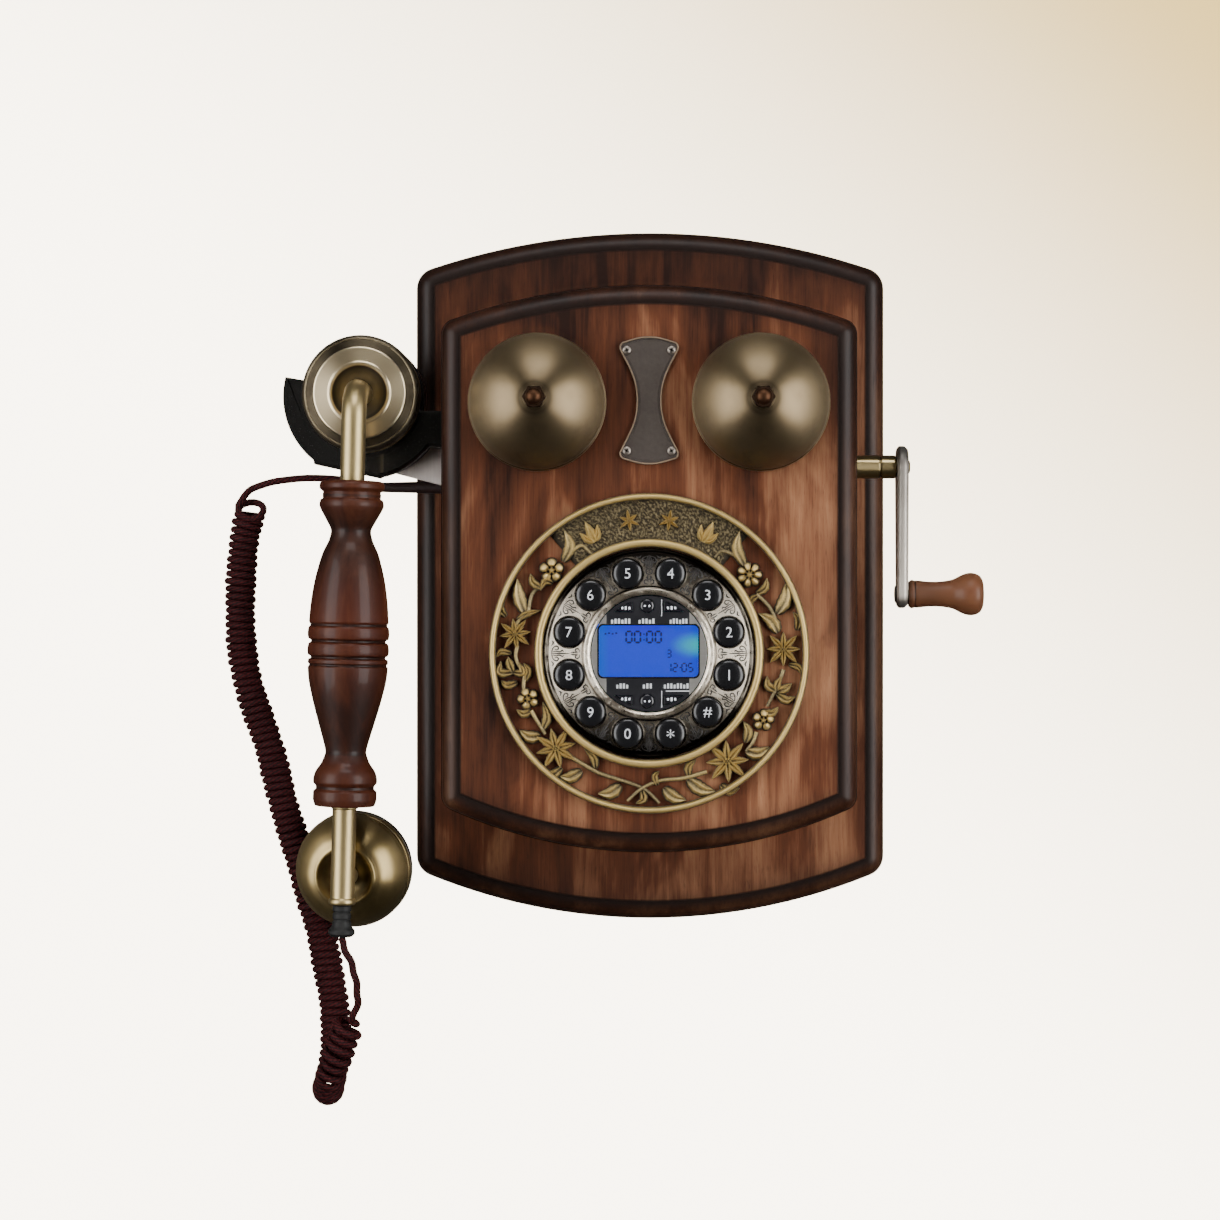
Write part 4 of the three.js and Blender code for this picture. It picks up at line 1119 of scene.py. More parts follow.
def make_name_plate():
    """A waisted bronze plate with a raised rim, an engraved line and four cross-head screws."""
    low, high = box("name_plate")
    centre = middle("name_plate")
    back, front = -high.y, -low.y
    metal = bronze()
    outline = name_plate_outline()
    face = front - 0.55
    levels = [
        (0.2, back), (0, back + 0.2), (0, front - 0.3), (0.2, front), (0.5, front), (0.7, front - 0.2),
        (0.8, face), (1.3, face), (1.35, face - 0.2), (1.55, face - 0.2), (1.6, face),
    ]
    shape = levelled(lambda amount: inset(outline, amount), levels)
    place = at(centre.x, 0, centre.z)

    def tone(point):
        return smoothstep(face + 0.1, front - 0.05, -point.y)

    piece("waisted_name_plate", shape, metal, ["name_plate"], place, tone=tone, crease=25)
    for x in (-9.4, 9.4):
        for z in (-21.1, 21.1):
            cross_screw(f"plate_screw_{'upper' if z > 0 else 'lower'}_{'right' if x > 0 else 'left'}",
                        at(centre.x + x, 0, centre.z + z) @ OUT, face, 1.85, "name_plate", 20 + 3 * x + z)


def cross_screw(name, place, seat, radius, like, turn):
    """A domed screw head with a crossed slot."""
    profile = [(0, seat - 0.5), (radius, seat - 0.5), (radius, seat + 0.15, 0.2)]
    for i in range(1, 9):
        angle = math.radians(10 * i)
        profile.append((radius * math.cos(angle), seat + 0.15 + 0.8 * math.sin(angle)))
    profile.append((0, seat + 0.95))
    thing = bare(name, turned(profile, 32), place)
    for angle in (turn, turn + 90):
        arm = bar((-radius * 0.62, -0.22, seat + 0.4), (radius * 0.62, 0.22, seat + 3))
        carve(thing, arm.moved(Matrix.Rotation(math.radians(angle), 4, "Z")))
    finish_screw(thing, like)


def finish_screw(thing, like):
    thing.data.materials.clear()
    thing.data.materials.append(bpy.data.materials.get("screw_steel") or steel("screw_steel", "8d857c", 0.36))
    thing.data.shade_smooth()
    thing.data.set_sharp_from_angle(angle=math.radians(30))
    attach(thing, BODY_OF[like])


# ---------------------------------------------------------------- cast ring

# Ornament of the cast ring, from the dial's centre. A leaf is its base, middle, tip and width.
LEAVES = [
    ((-35.9, 38.4), (-33.2, 45.2), (-35.4, 51.5), 4.2), ((40.1, 36.6), (36.9, 43.9), (37.8, 51.1), 4.2),
    ((-52.2, 16.7), (-54.6, 24), (-55.3, 31.2), 4.6), ((53.6, 16.7), (57.4, 23), (57.7, 30.3), 5),
    ((54.1, 8.6), (51.4, 13.4), (45.9, 16.7), 4.6), ((-55.6, 14), (-51, 16.6), (-45.4, 18.1), 2.6),
    ((-44.5, -32.1), (-42.8, -26.4), (-44.6, -20.3), 3.4), ((-45.4, -34.8), (-50.4, -35), (-54.4, -32.1), 4.4),
    ((-28.2, -49.3), (-33.2, -52), (-37.3, -51.5), 4.4), ((-22.3, -48.4), (-23.4, -43.4), (-27.3, -39.8), 3),
    ((-11.9, -55.2), (-16.2, -58.6), (-21.4, -58.8), 4.6), ((6.1, -56.5), (10.4, -60.4), (15.6, -61.5), 4.6),
    ((16.1, -52.9), (21.8, -57), (27.9, -57.9), 5), ((16.5, -51.5), (16.6, -47.4), (19.6, -44.6), 3),
    ((40.5, -41.1), (45.8, -42), (50.5, -39.3), 4.6), ((40.5, -37.5), (41.6, -32.8), (39.6, -28.5), 3.4),
    ((-55.3, -12.2), (-59.6, -13.4), (-62.1, -11.3), 3), ((-52.2, -12), (-50.6, -7.4), (-52.6, -4.1), 2.6),
    ((-57, -8), (-62.6, -8), (-62.1, -3.2), 3.2), ((-57, -8), (-58.6, -4.2), (-59, -1.6), 3),
    ((-57, -8), (-53.2, -8), (-54.6, -3.6), 3), ((53.4, -16), (49.8, -13.4), (49.5, -9.5), 3.2),
    ((54, -16), (57, -14.8), (59.9, -12.6), 3.2), ((53.4, -17), (57.6, -19.6), (61.3, -18.1), 3.2),
    ((53.4, -16), (53.8, -12.8), (55.6, -9.6), 2.8), ((-40.4, 29.4), (-43.6, 30.2), (-45.6, 26.4), 2.8),
    ((-44.8, 27.2), (-48.6, 29.6), (-49.8, 33.4), 3), ((45, 25), (48.6, 27.4), (49.4, 31.6), 3),
    ((45.8, 24.4), (43, 22.4), (42.8, 19), 2.6), ((-49.5, -24), (-52.6, -25.4), (-55.6, -23.6), 3),
    ((47.6, -24.6), (51.6, -25), (54.2, -22.4), 3), ((-36.6, -48), (-40.6, -50.8), (-44.8, -48.6), 3.4),
    ((30, -55), (33.4, -57.8), (38, -56.4), 3.4), ((-3, -57.4), (-2.4, -61.2), (-5.6, -63), 2.8),
    ((3.6, -55.4), (2.4, -51.6), (4.2, -49.4), 2.4), ((-57.6, 0), (-62, 0.6), (-64, -1.6), 2.6),
    ((58.6, -4.6), (62.6, -5.8), (64, -9), 2.6), ((-60, 15.4), (-62.4, 19), (-60.6, 22.6), 2.8),
    ((62, 9.6), (62.6, 14), (60.4, 17.4), 2.8),
]
# A stem is the points it runs through.
STEMS = [
    [(-50.8, 16.7), (-49, 24.9), (-44.5, 28.9)], [(-55.3, 3.2), (-55.8, -2.3), (-52.2, -9.5)],
    [(-49.5, -24), (-46.3, -29.4), (-43.6, -33.9)], [(45, 24.9), (50.5, 19.4), (55, 10.4)],
    [(-35.4, -42), (-29.1, -45.7), (-21, -50.2), (-12.8, -52.9), (-4.7, -55.6), (-0.2, -58.3), (4.3, -62.8)],
    [(24.2, -49.7), (14.3, -52.4), (5.2, -53.3), (-2.9, -56.5), (-9.2, -61.9)],
    [(56.3, -6.8), (54.1, -13.1), (49.5, -22.2)], [(45, -33), (43.4, -37.4), (40.5, -41.1)],
    [(-32.3, 43), (-28.2, 45.2), (-24.1, 41.6)], [(36, 41.1), (30.6, 42.9), (27.4, 40.2)],
    [(-52.2, -9.5), (-52.6, -14.4), (-51.6, -18)], [(-56.4, 8), (-55.4, 12.4), (-52.2, 16.7)],
]
# A flower is its centre, reach, number of petals, turn in degrees, and whether its petals are pointed.
FLOWERS = [
    (-40.9, 34.8, 5.2, 5, 18, False), (42.1, 33.0, 5.4, 7, 0, False), (-50.8, -19.0, 4.6, 5, 40, False),
    (47.9, -28.0, 4.6, 5, 10, False), (-56.2, 8.1, 7.3, 8, 8, True), (56.3, 1.8, 7.9, 8, 0, True),
    (-39.1, -39.8, 9.4, 8, 14, True), (32.8, -45.2, 9.9, 8, 4, True),
]
CARTOUCHE_HALF_ANGLE = 40
RING = {"inner": 44.5, "seat": 48.2, "rim": 64.3, "outer": 67.2} # radii of the two rims


def leaf(base, middle_point, tip, width, level, lift):
    """A cast leaf with a sunk vein, a scalloped edge and a tip that curls up."""
    spine = smooth_line([Vector(base), Vector(middle_point), Vector(tip)], 8)
    rings = []
    last = len(spine) - 1
    for i, point in enumerate(spine):
        share = i / last
        tangent = (spine[min(i + 1, last)] - spine[max(i - 1, 0)]).normalized()
        across = Vector((-tangent.y, tangent.x))
        full = math.sin(math.pi * min(0.06 + 0.94 * share, 0.985) ** 0.8)
        half = max(width * 0.62 * full ** 0.75 * (1 + 0.13 * math.sin(9 * share * math.pi / 2) ** 2), 0.12)
        crest = level + lift * (0.42 + 0.48 * full + 0.22 * share)
        edge = level + lift * (0.22 + 0.3 * share)
        section = [
            (-1.0, level), (-1.0, edge), (-0.82, (edge + crest) / 2), (-0.45, crest), (-0.14, crest - 0.3 * lift * full),
            (0.0, crest - 0.38 * lift * full), (0.14, crest - 0.3 * lift * full), (0.45, crest),
            (0.82, (edge + crest) / 2), (1.0, edge), (1.0, level),
        ]
        rings.append([(point.x + across.x * half * u, -h, point.y + across.y * half * u) for u, h in section])
    return skinned(rings)


def flower(x, z, reach, petals, turn, level, lift, pointed=False):
    """A cast flower: petals as waves of a low dome round a bead; pointed petals make a star with ridges."""
    steps, depth = petals * 12, 11
    rings = []
    for k in range(depth + 1):
        share = 1 - (k - 1) / (depth - 0.4) if k else 1.0
        ring = []
        for i in range(steps):
            angle = 2 * math.pi * i / steps
            wave = abs(math.cos(petals * angle / 2))
            if pointed:
                edge = reach * (0.46 + 0.54 * wave ** 1.8)
                rise = 0.30 + 0.62 * wave ** 1.4 * (1 - 0.45 * share) - 0.2 * smoothstep(0.5, 0.25, share)
            else:
                edge = reach * (0.66 + 0.34 * wave ** 0.4)
                rise = 0.3 + 0.55 * wave ** 0.5 * math.sin(math.pi * min(share * 0.8 + 0.16, 1))
            bead = 0.9 * math.sqrt(max(1 - (share / 0.24) ** 2, 0)) + 0.25 * (share < 0.24)
            height = level if k == 0 else level + lift * (max(rise - 0.25 * (0.24 < share < 0.36), bead) - 0.14 * (k == 1))
            lean = angle + math.radians(turn)
            ring.append((x + edge * share * math.cos(lean), -height, z + edge * share * math.sin(lean)))
        rings.append(ring)
    return skinned(rings)


def star(x, z, reach, petals, turn, level, lift):
    """A flower of long pointed petals, every other one a little lower, round a bead."""
    shape = Shape()
    for k in range(petals):
        angle = math.radians(turn + 360 / petals * k)
        way = Vector((math.cos(angle), math.sin(angle)))
        length = reach * (1 if k % 2 else 0.9)
        base, middle_point, tip = [Vector((x, z)) + way * length * share for share in (0.05, 0.5, 1)]
        shape.add(leaf(base, middle_point, tip, reach * 0.29, level, lift * (0.86 if k % 2 else 0.78)))
    return shape.add(flower(x, z, reach * 0.2, 6, turn, level, lift * 1.02))


def rim_ring(inner, outer, back, front):
    """A turned rim with a bead on its crest and a step on each side."""
    mid, half = (inner + outer) / 2, (outer - inner) / 2
    profile = [
        (inner, back), (outer, back), (outer, front - 1.7, 0.2), (outer - 0.35, front - 1.4, 0.2),
        (outer - 0.45, front - 0.7, 0.4), (mid + half * 0.35, front, 0.5), (mid - half * 0.35, front, 0.5),
        (inner + 0.45, front - 0.7, 0.4), (inner + 0.35, front - 1.4, 0.2), (inner, front - 1.7, 0.2), (inner, back),
    ]
    return turned(eased(profile, 0.3, 3), 180)


def cartouche(level, floor, stipple):
    """The blank panel of the ring, a sector with a grain like sand between two plain borders."""
    inner, outer = RING["seat"] - 0.4, RING["rim"] + 0.4
    rows, columns = 30, 190
    grid = []
    for j in range(rows + 1):
        radius = inner + (outer - inner) * j / rows
        for i in range(columns + 1):
            angle = math.radians(90 - CARTOUCHE_HALF_ANGLE + 2 * CARTOUCHE_HALF_ANGLE * i / columns)
            place = Vector((radius * math.cos(angle), radius * math.sin(angle), 0))
            grain = noise.noise(place * 1.15) + 0.6 * noise.noise(place * 2.3 + Vector((7, 3, 1)))
            edge = min(i, columns - i, 5) / 5
            grid.append((place.x, -(level + floor * edge + stipple * grain * edge), place.y))
    wide = columns + 1
    faces = [
        (j * wide + i, j * wide + i + 1, (j + 1) * wide + i + 1, (j + 1) * wide + i)
        for j in range(rows) for i in range(columns)
    ]
    count = len(grid)
    border = [i for i in range(wide)] + [j * wide + columns for j in range(1, rows + 1)]
    border += [rows * wide + i for i in range(columns - 1, -1, -1)] + [j * wide for j in range(rows - 1, 0, -1)]
    base = [(grid[b][0], -level + 0.02, grid[b][2]) for b in border]
    faces += [(border[k], border[k - 1], count + (k - 1) % len(border), count + k) for k in range(len(border))]
    faces.append(tuple(count + k for k in range(len(border))))
    return Shape(grid + base, faces)


def motif(kind, angle, level, height):
    """One of the raised ornaments on the blank panel, standing at an angle round the dial."""
    radius = (RING["seat"] + RING["rim"]) / 2
    lean = math.radians(angle)
    shape = Shape()
    if kind == "rosette":
        shape.add(star(0, 0, 4.6, 6, 30, level, height))
    else:
        shape.add(leaf((0, -4.4), (0.2, 0), (0, 4.8), 3.2, level, height))
        for side in (-1, 1):
            shape.add(leaf((0, -4), (2.4 * side, -2), (4 * side, 1.8), 2.6, level, height * 0.9))
    shape.moved(Matrix.Rotation(math.pi / 2 - lean, 4, "Y"))
    return shape.moved(at(radius * math.cos(lean), 0, radius * math.sin(lean)))


def make_cast_ring():
    """Two rims, leaves, stems and flowers between them, and the stippled panel at the top."""
    dial = settings().dial
    low, high = box("dial_surround")
    centre = middle("dial_surround")
    back, front = -high.y, -low.y
    relief, floor = dial.relief / MM, 1.35
    gold = cast_gold()
    place = at(centre.x, 0, centre.z)
    rims = Shape()
    for inner, outer in (("inner", "seat"), ("rim", "outer")):
        rims.add(rim_ring(RING[inner], RING[outer], back, front).moved(OUT))
    # The rims' tone rises towards their crest: patina on the lower steps, and painted shade there too.
    piece(
        "cast_rims", rims, gold, ["dial_surround"], place, crease=40,
        tone=lambda p: 0.25 + 0.75 * smoothstep(front - 2.6, front - 0.6, -p.y),
    )
    panel = cartouche(back, floor, dial.stipple / MM)
    spread = 52
    for k, kind in enumerate(("sprig", "rosette", "rosette", "sprig")):
        panel.add(motif(kind, 90 + spread / 2 - spread / 3 * k, back + 0.6, 3.0))

    # The panel's floor is darker than its raised grain and motifs: patina and painted shade in the low parts.
    def panel_tone(point):
        out = -point.y - back - floor
        return 0.34 + 0.36 * smoothstep(-0.2, 0.25, out) + 0.3 * smoothstep(0.35, 0.8, out)

    piece("stippled_panel", panel, gold, place=place, like="dial_surround", tone=panel_tone, crease=60)
    growth = Shape()
    for x, z, reach, petals, turn, pointed in FLOWERS:
        if pointed:
            growth.add(star(x, z, reach, petals, turn, back, relief))
        else:
            growth.add(flower(x, z, reach * 1.06, petals, turn, back, relief * 0.92))
    for base, middle_point, tip, width in LEAVES:
        growth.add(leaf(base, middle_point, tip, width, back, relief * 0.74))
    for k, stem in enumerate(STEMS):
        path = smooth_line([(x, -back - 1.15 - 0.1 * (k % 3), z) for x, z in stem], 6)
        growth.add(swept(path, lambda share: 1.05 - 0.3 * share, 10))
    # The foliage's tone follows height: patina in the hollows and painted shade on the low sloping sides of leaves and
    # petals.
    piece(
        "cast_foliage", growth, gold, place=place, like="dial_surround", crease=50,
        tone=lambda p: smoothstep(back + relief * 0.1, back + relief * 0.68, -p.y),
    )


# ---------------------------------------------------------------- keypad

KEY_ORDER = ["1", "2", "3", "4", "5", "6", "7", "8", "9", "0", "star", "hash"]
PLATE_CONE = ((42.6, 4.0), (28.0, 6.4)) # radius and height of the keypad plate's slope, over the front panel


def slope_height(radius):
    (outer, low), (inner, high) = PLATE_CONE
    return low + (high - low) * (outer - radius) / (outer - inner)


def make_keypad_plate():
    """A shallow cone with twelve key holes, a raised bezel round the display and engraved scrolls."""
    low, high = box("keypad_plate")
    centre = middle("keypad_plate")
    panel = -high.y - 0.3
    metal = nickel()
    heights = [
        (44.1, 0.3), (44.1, 3.1, 0.3), (43.6, 3.7, 0.3), (42.9, 3.9, 0.3), (42.4, 3.5, 0.2), (42.1, 4.0, 0.2),
        (28.4, 6.3, 0.2), (27.9, 6.0, 0.2), (27.5, 6.2, 0.2), (27.2, 7.3, 0.3), (25.6, 7.4, 0.4), (24.6, 6.6, 0.3),
        (24.6, 4.4), (42.0, 2.2), (42.8, 0.3), (44.1, 0.3),
    ]
    profile = eased([(r, panel + h, *ease) for r, h, *ease in heights], 0.3, 3)
    holes = Shape()
    for name in KEY_ORDER:
        key = middle(f"key_{name}") - centre
        holes.add(rod((key.x, key.z), 6.42, panel, panel + 9, 48).moved(OUT.inverted()))

    def tone(point):
        reach = math.hypot(point.x, point.y)
        edge = smoothstep(41.7, 42.1, reach) * (1 - smoothstep(44.2, 44.6, reach))
        groove = smoothstep(27.4, 27.8, reach) * (1 - smoothstep(28.1, 28.6, reach))
        return 1 - 1.0 * edge - 0.9 * groove

    place = at(centre.x, 0, centre.z)
    piece("keypad_plate_face", turned(profile, 144), metal, ["keypad_plate"], place @ OUT, cut=holes, tone=tone)
    scrolls, bezels = Shape(), Shape()
    for i in range(12):
        scrolls.add(scrollwork(i, panel))
        key = middle(f"key_{KEY_ORDER[i]}") - centre
        level = panel + slope_height(math.hypot(key.x, key.z))
        collar = eased([(6.45, -0.5), (7.0, -0.5), (7.0, 0.18, 0.1), (6.7, 0.34, 0.15), (6.45, 0.2, 0.1), (6.45, -0.5)], 0.1, 3)
        tilt = math.atan2(PLATE_CONE[1][1] - PLATE_CONE[0][1], PLATE_CONE[0][0] - PLATE_CONE[1][0])
        side = Vector((-key.z, 0, key.x)).normalized()
        lie = at(key.x, -level, key.z) @ Matrix.Rotation(tilt, 4, side) @ OUT
        bezels.add(turned(collar, 48).moved(lie))
    dark = ink("engraving", srgb("17130f"), 0.5)
    piece("engraved_scrolls", scrolls, dark, place=place, like="keypad_plate", tone=lambda p: 0)
    piece("key_collars", bezels, metal, place=place, like="keypad_plate", tone=lambda p: 0.75)


def scrollwork(index, panel):
    """Fine scrolls between two keys, at the plate's outer edge and beside the display."""
    lean = math.radians(30 * index)
    shape = Shape()
    lines = []
    for side in (-1, 1):
        lines.append([(40.9, 0.3 * side), (40.2, 2.4 * side), (38.8, 3.1 * side), (38.0, 2.2 * side), (38.8, 1.5 * side), (39.6, 1.9 * side)])
        lines.append([(40.6, 0.6 * side), (39.0, 0.9 * side), (37.4, 0.7 * side), (36.2, 1.3 * side), (35.8, 0.6 * side)])
        lines.append([(41.1, 3.2 * side), (40.4, 4.4 * side), (41.0, 5.4 * side)])
        lines.append([(29.0, 0.4 * side), (29.4, 1.8 * side), (30.6, 1.9 * side), (30.8, 1.0 * side), (30.0, 0.8 * side)])
        lines.append([(29.8, 0.3 * side), (31.6, 0.5 * side), (32.8, 0.3 * side)])
    lines.append([(41.2, 0), (38.4, 0), (35.4, 0), (33.2, 0)])
    if index in (3, 9):
        for side in (-1, 1):
            lines += [
                [(36.4, 0), (36.9, 1.0 * side), (38.1, 1.3 * side), (38.6, 0.3 * side)],
                [(33.0, 0), (33.6, 1.1 * side), (35.0, 1.2 * side), (35.6, 0.2 * side)],
                [(31.0, 0), (31.6, 0.9 * side), (32.4, 0.8 * side)],
            ]
    for line in lines:
        path = []
        for out, around in line:
            angle = lean + around / out
            path.append((out * math.cos(angle), -(panel + slope_height(out) + 0.02), out * math.sin(angle)))
        shape.add(swept(smooth_line(path, 5), lambda share: 0.12 + 0.16 * math.sin(math.pi * share), 6))
    return shape


def lettering(text, height):
    """Flat letters of a height, as a mesh in the XY plane round the origin."""
    curve = bpy.data.curves.new("letters", "FONT")
    curve.body = text
    curve.size = 1.0
    curve.resolution_u = 4
    curve.extrude = 0.5
    curve.align_x, curve.align_y = "CENTER", "CENTER"
    thing = bpy.data.objects.new("letters", curve)
    bpy.context.scene.collection.objects.link(thing)
    mesh = bpy.data.meshes.new_from_object(thing.evaluated_get(bpy.context.evaluated_depsgraph_get()))
    points = [vertex.co.copy() for vertex in mesh.vertices]
    faces = [tuple(face.vertices) for face in mesh.polygons]
    bpy.data.objects.remove(thing)
    points, faces = sliced(points, faces)
    low = Vector((min(p.x for p in points), min(p.y for p in points)))
    high = Vector((max(p.x for p in points), max(p.y for p in points)))
    scale = height / (high.y - low.y)
    centre = (low + high) / 2
    return Shape([((p.x - centre.x) * scale, (p.y - centre.y) * scale, p.z) for p in points], faces)


def sliced(points, faces, count=7):
    """Cuts a flat mesh into a grid of pieces, so that it can be laid over a dome."""
    work = bmesh.new()
    corners = [work.verts.new(point) for point in points]
    for face in faces:
        work.faces.new([corners[i] for i in face])
    bmesh.ops.remove_doubles(work, verts=work.verts, dist=1e-6)
    for axis in (0, 1):
        low, high = [pick(point[axis] for point in points) for pick in (min, max)]
        normal = Vector((axis == 0, axis == 1, 0))
        for k in range(1, count):
            place = normal * (low + (high - low) * k / count)
            everything = [*work.verts, *work.edges, *work.faces]
            bmesh.ops.bisect_plane(work, geom=everything, plane_co=place, plane_no=normal)
    work.verts.index_update()
    cut = [vertex.co.copy() for vertex in work.verts], [tuple(v.index for v in face.verts) for face in work.faces]
    work.free()
    return cut


def make_keys():
    """Twelve domed glossy keys, each with its figure in white laid over the dome."""
    gloss = plastic("key_black", "0a0a0c", 0.2, grain=0.004, coat=0.15)
    white = ink("key_figures", tuple(settings().dial.figures))
    for name in KEY_ORDER:
        node = f"key_{name}"
        low, high = box(node)
        centre = middle(node)
        crown, foot = -low.y, -high.y
        radius = 6.1
        profile = [(0, foot), (6.0, foot + 2.2), (6.9, foot + 2.5, 0.2), (6.9, foot + 3.3, 0.2), (radius, foot + 3.5, 0.2)]
        dome = [(radius, crown - 1.9), *[(radius * math.cos(t), crown - 1.5 + 1.5 * math.sin(t) ** 0.9)
                for t in (math.radians(6 * k) for k in range(1, 15))], (0, crown)]
        profile = [*eased(profile + [(radius, crown - 2.2, 0.1)], 0.2, 3), *dome]
        place = at(centre.x, 0, centre.z)
        key = piece(f"domed_key_{name}", turned(profile, 64), gloss, [node], place @ OUT)
        figure = {"star": "*", "hash": "#"}.get(name, name)
        letters = lettering(figure, 3.6 if name == "star" else 4.3)
        laid = []
        for point in letters.points:
            share = min(math.hypot(point.x, point.y) / radius, 0.98)
            surface = crown - 1.5 + 1.5 * math.sqrt(1 - share * share) ** 0.9
            laid.append(Vector((point.x, -(surface + (0.07 if point.z > 0 else -0.1)), point.y)))
        figure_piece = bare(f"figure_{name}", Shape(laid, letters.faces), place)
        figure_piece.data.materials.append(white)
        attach(figure_piece, BODY_OF[node])


# ---------------------------------------------------------------- display


SEVEN = {
    "0": "abcdef", "1": "bc", "2": "abged", "3": "abgcd", "4": "fgbc", "5": "afgcd", "6": "afgedc", "7": "abc",
    "8": "abcdefg", "9": "abcdfg",
}


def segments(text, x, z, height, out):
    """Seven-segment figures, starting at x with their foot at z; a colon and a bar are narrower."""
    shape = Shape()
    width, thick = height * 0.52, height * 0.17
    half = height / 2
    for mark in text:
        if mark in ":-":
            places = [(x, z + half * 0.5), (x, z + half * 1.5)] if mark == ":" else [(x, z + half)]
            for px, pz in places:
                shape.add(dash(px - thick * 0.2, px + thick * (0.9 if mark == ":" else 2), pz, thick, out))
            x += width * 0.62
            continue
        lit = SEVEN[mark]
        for name, level in (("a", height), ("g", half), ("d", 0)):
            if name in lit:
                shape.add(dash(x + thick * 0.2, x + width - thick * 0.2, z + level, thick, out))
        for name, side, level in (("f", 0, half), ("b", width, half), ("e", 0, 0), ("c", width, 0)):
            if name in lit:
                shape.add(dash(level + z + thick * 0.2, level + z + half - thick * 0.2, x + side, thick, out, True))
        x += width * 1.5
    return shape


def dash(start, end, level, thick, out, upright=False):
    """One lit bar with pointed ends."""
    half = thick / 2
    outline = [(start, level), (start + half, level - half), (end - half, level - half), (end, level),
               (end - half, level + half), (start + half, level + half)]
    if upright:
        outline = [(b, a) for a, b in reversed(outline)]
    return plate(outline, out, out + 0.05, 0.0)


def mark_row(spans, low, high, level):
    """A row of small plain marks, one for each span of x."""
    shape = Shape()
    for start, end in spans:
        count = max(int((end - start) / 1.25), 1)
        pitch = (end - start) / count
        for k in range(count):
            left = start + k * pitch
            top = high if k % 3 else high - 0.25 * (high - low)
            shape.add(plate([(left, low), (left + pitch * 0.62, low), (left + pitch * 0.62, top), (left, top)],
                            level - 0.2, level + 0.06, 0.0))
    return shape


def make_display():
    """The round display panel: silver sides, black top and bottom, window, lit display and six buttons."""
    dial = settings().dial
    low, high = box("display_disc")
    centre = middle("display_disc")
    back, front = -high.y, -low.y
    radius = (high.x - low.x) / 2
    window_low, window_high = box("lcd_window")
    window = middle("lcd_window") - centre
    width, height = window_high.x - window_low.x + 0.5, window_high.z - window_low.z + 0.5
    through = (back - 1, front + 1)
    holes = plate(rounded_rectangle(width, height, 2, window.x, window.z), *through, 0)
    for row, rise in (("upper", 1), ("lower", -1)):
        button = middle(f"button_{row}_middle") - centre
        holes.add(rod((button.x, button.z), 3.12, *through, 40))
        for side in (-1, 1):
            holes.add(plate(wedge_outline(side, rise, 0.25), *through, 0))
    levels = eased([(0.3, back), (0, back + 0.3, 0.2), (0, front, 0.35), (0.5, front)], 0.3, 3)
    disc = levelled(lambda amount: arc(0, 0, radius - amount, 0, 360, 120)[:-1], levels)
    place = at(centre.x, 0, centre.z)
    piece("display_panel", disc, two_tone(), ["display_disc"], place, cut=holes)
    frame_outline = rounded_rectangle(width + 1.4, height + 1.4, 2.4, window.x, window.z)
    rim = levelled(lambda amount: inset(frame_outline, amount), [(0, front - 0.1), (0, front + 0.1), (0.15, front + 0.25), (0.55, front + 0.25), (0.7, front + 0.1)])
    carve_window = plate(rounded_rectangle(width, height, 2, window.x, window.z), back, front + 2, 0)
    piece("window_frame", rim, plastic("frame_black", "0d0d10", 0.2), place=place, like="display_disc", cut=carve_window)
    marks = mark_row([(-15.9, -7.3), (-4.4, 2.8), (8.6, 16.5)], 12.5, 14.6, front)
    marks.add(mark_row([(-13.7, -8.2), (-2.6, 1.7), (6.2, 17)], -14.6, -12.5, front))
    marks.add(plate([(7, -15.9), (17, -15.9), (17, -15.5), (7, -15.5)], front - 0.2, front + 0.06, 0))
    for rise in (-1, 1):
        marks.add(plate(sorted_outline(5.1, 5.45, rise * 15.6, rise * 22.6), front - 0.2, front + 0.06, 0))
    piece("printed_marks", marks, ink("print_white", tuple(dial.figures)), place=place, like="display_disc")
    make_buttons(centre)
    make_screen(dial)


def sorted_outline(left, right, first, second):
    low, high = sorted((first, second))
    return [(left, low), (right, low), (right, high), (left, high)]


def two_tone():
    """Printed face of the display panel: brushed silver at both sides, black in the middle."""
    f = Finish("display_face")
    x, z = f.axis(0), f.axis(2)
    silver = (x.maths("ABSOLUTE", x + 0.0005)).above(0.0172, 0.0176)
    lines = f.noise(900, (0.05, 1, 1), 3, 0.6)
    grain = f.noise(2200, (1, 1, 1), 2, 0.5)
    bright = f.mix(lines * 0.5, srgb("c9c7c2"), srgb("8f8b86"))
    black = f.mix(grain * 0.4, srgb("0c0c0f"), srgb("24242a"))
    shade = z.maths("ABSOLUTE", z).above(0.013, 0.02)
    return f.made(
        Base_Color=f.mix(silver, black, bright),
        Metallic=silver * 0.9,
        Roughness=0.26 + lines * 0.12 + shade * 0.05,
        Normal=f.bump(grain, 0.008),
    )


def wedge_outline(side, rise, grow):
    """A corner of the disc cut off by a level line and an upright one, counter-clockwise."""
    inner = 6.4 + (0.6 if side < 0 else 0) - grow
    level, radius = 17.6 - grow, 22.5 + grow
    start, end = math.degrees(math.asin(level / radius)), math.degrees(math.acos(inner / radius))
    points = [(inner, level), *arc(0, 0, radius, start, end, 12)]
    outline = [(side * x, rise * z) for x, z in points]
    return outline if side * rise > 0 else outline[::-1]


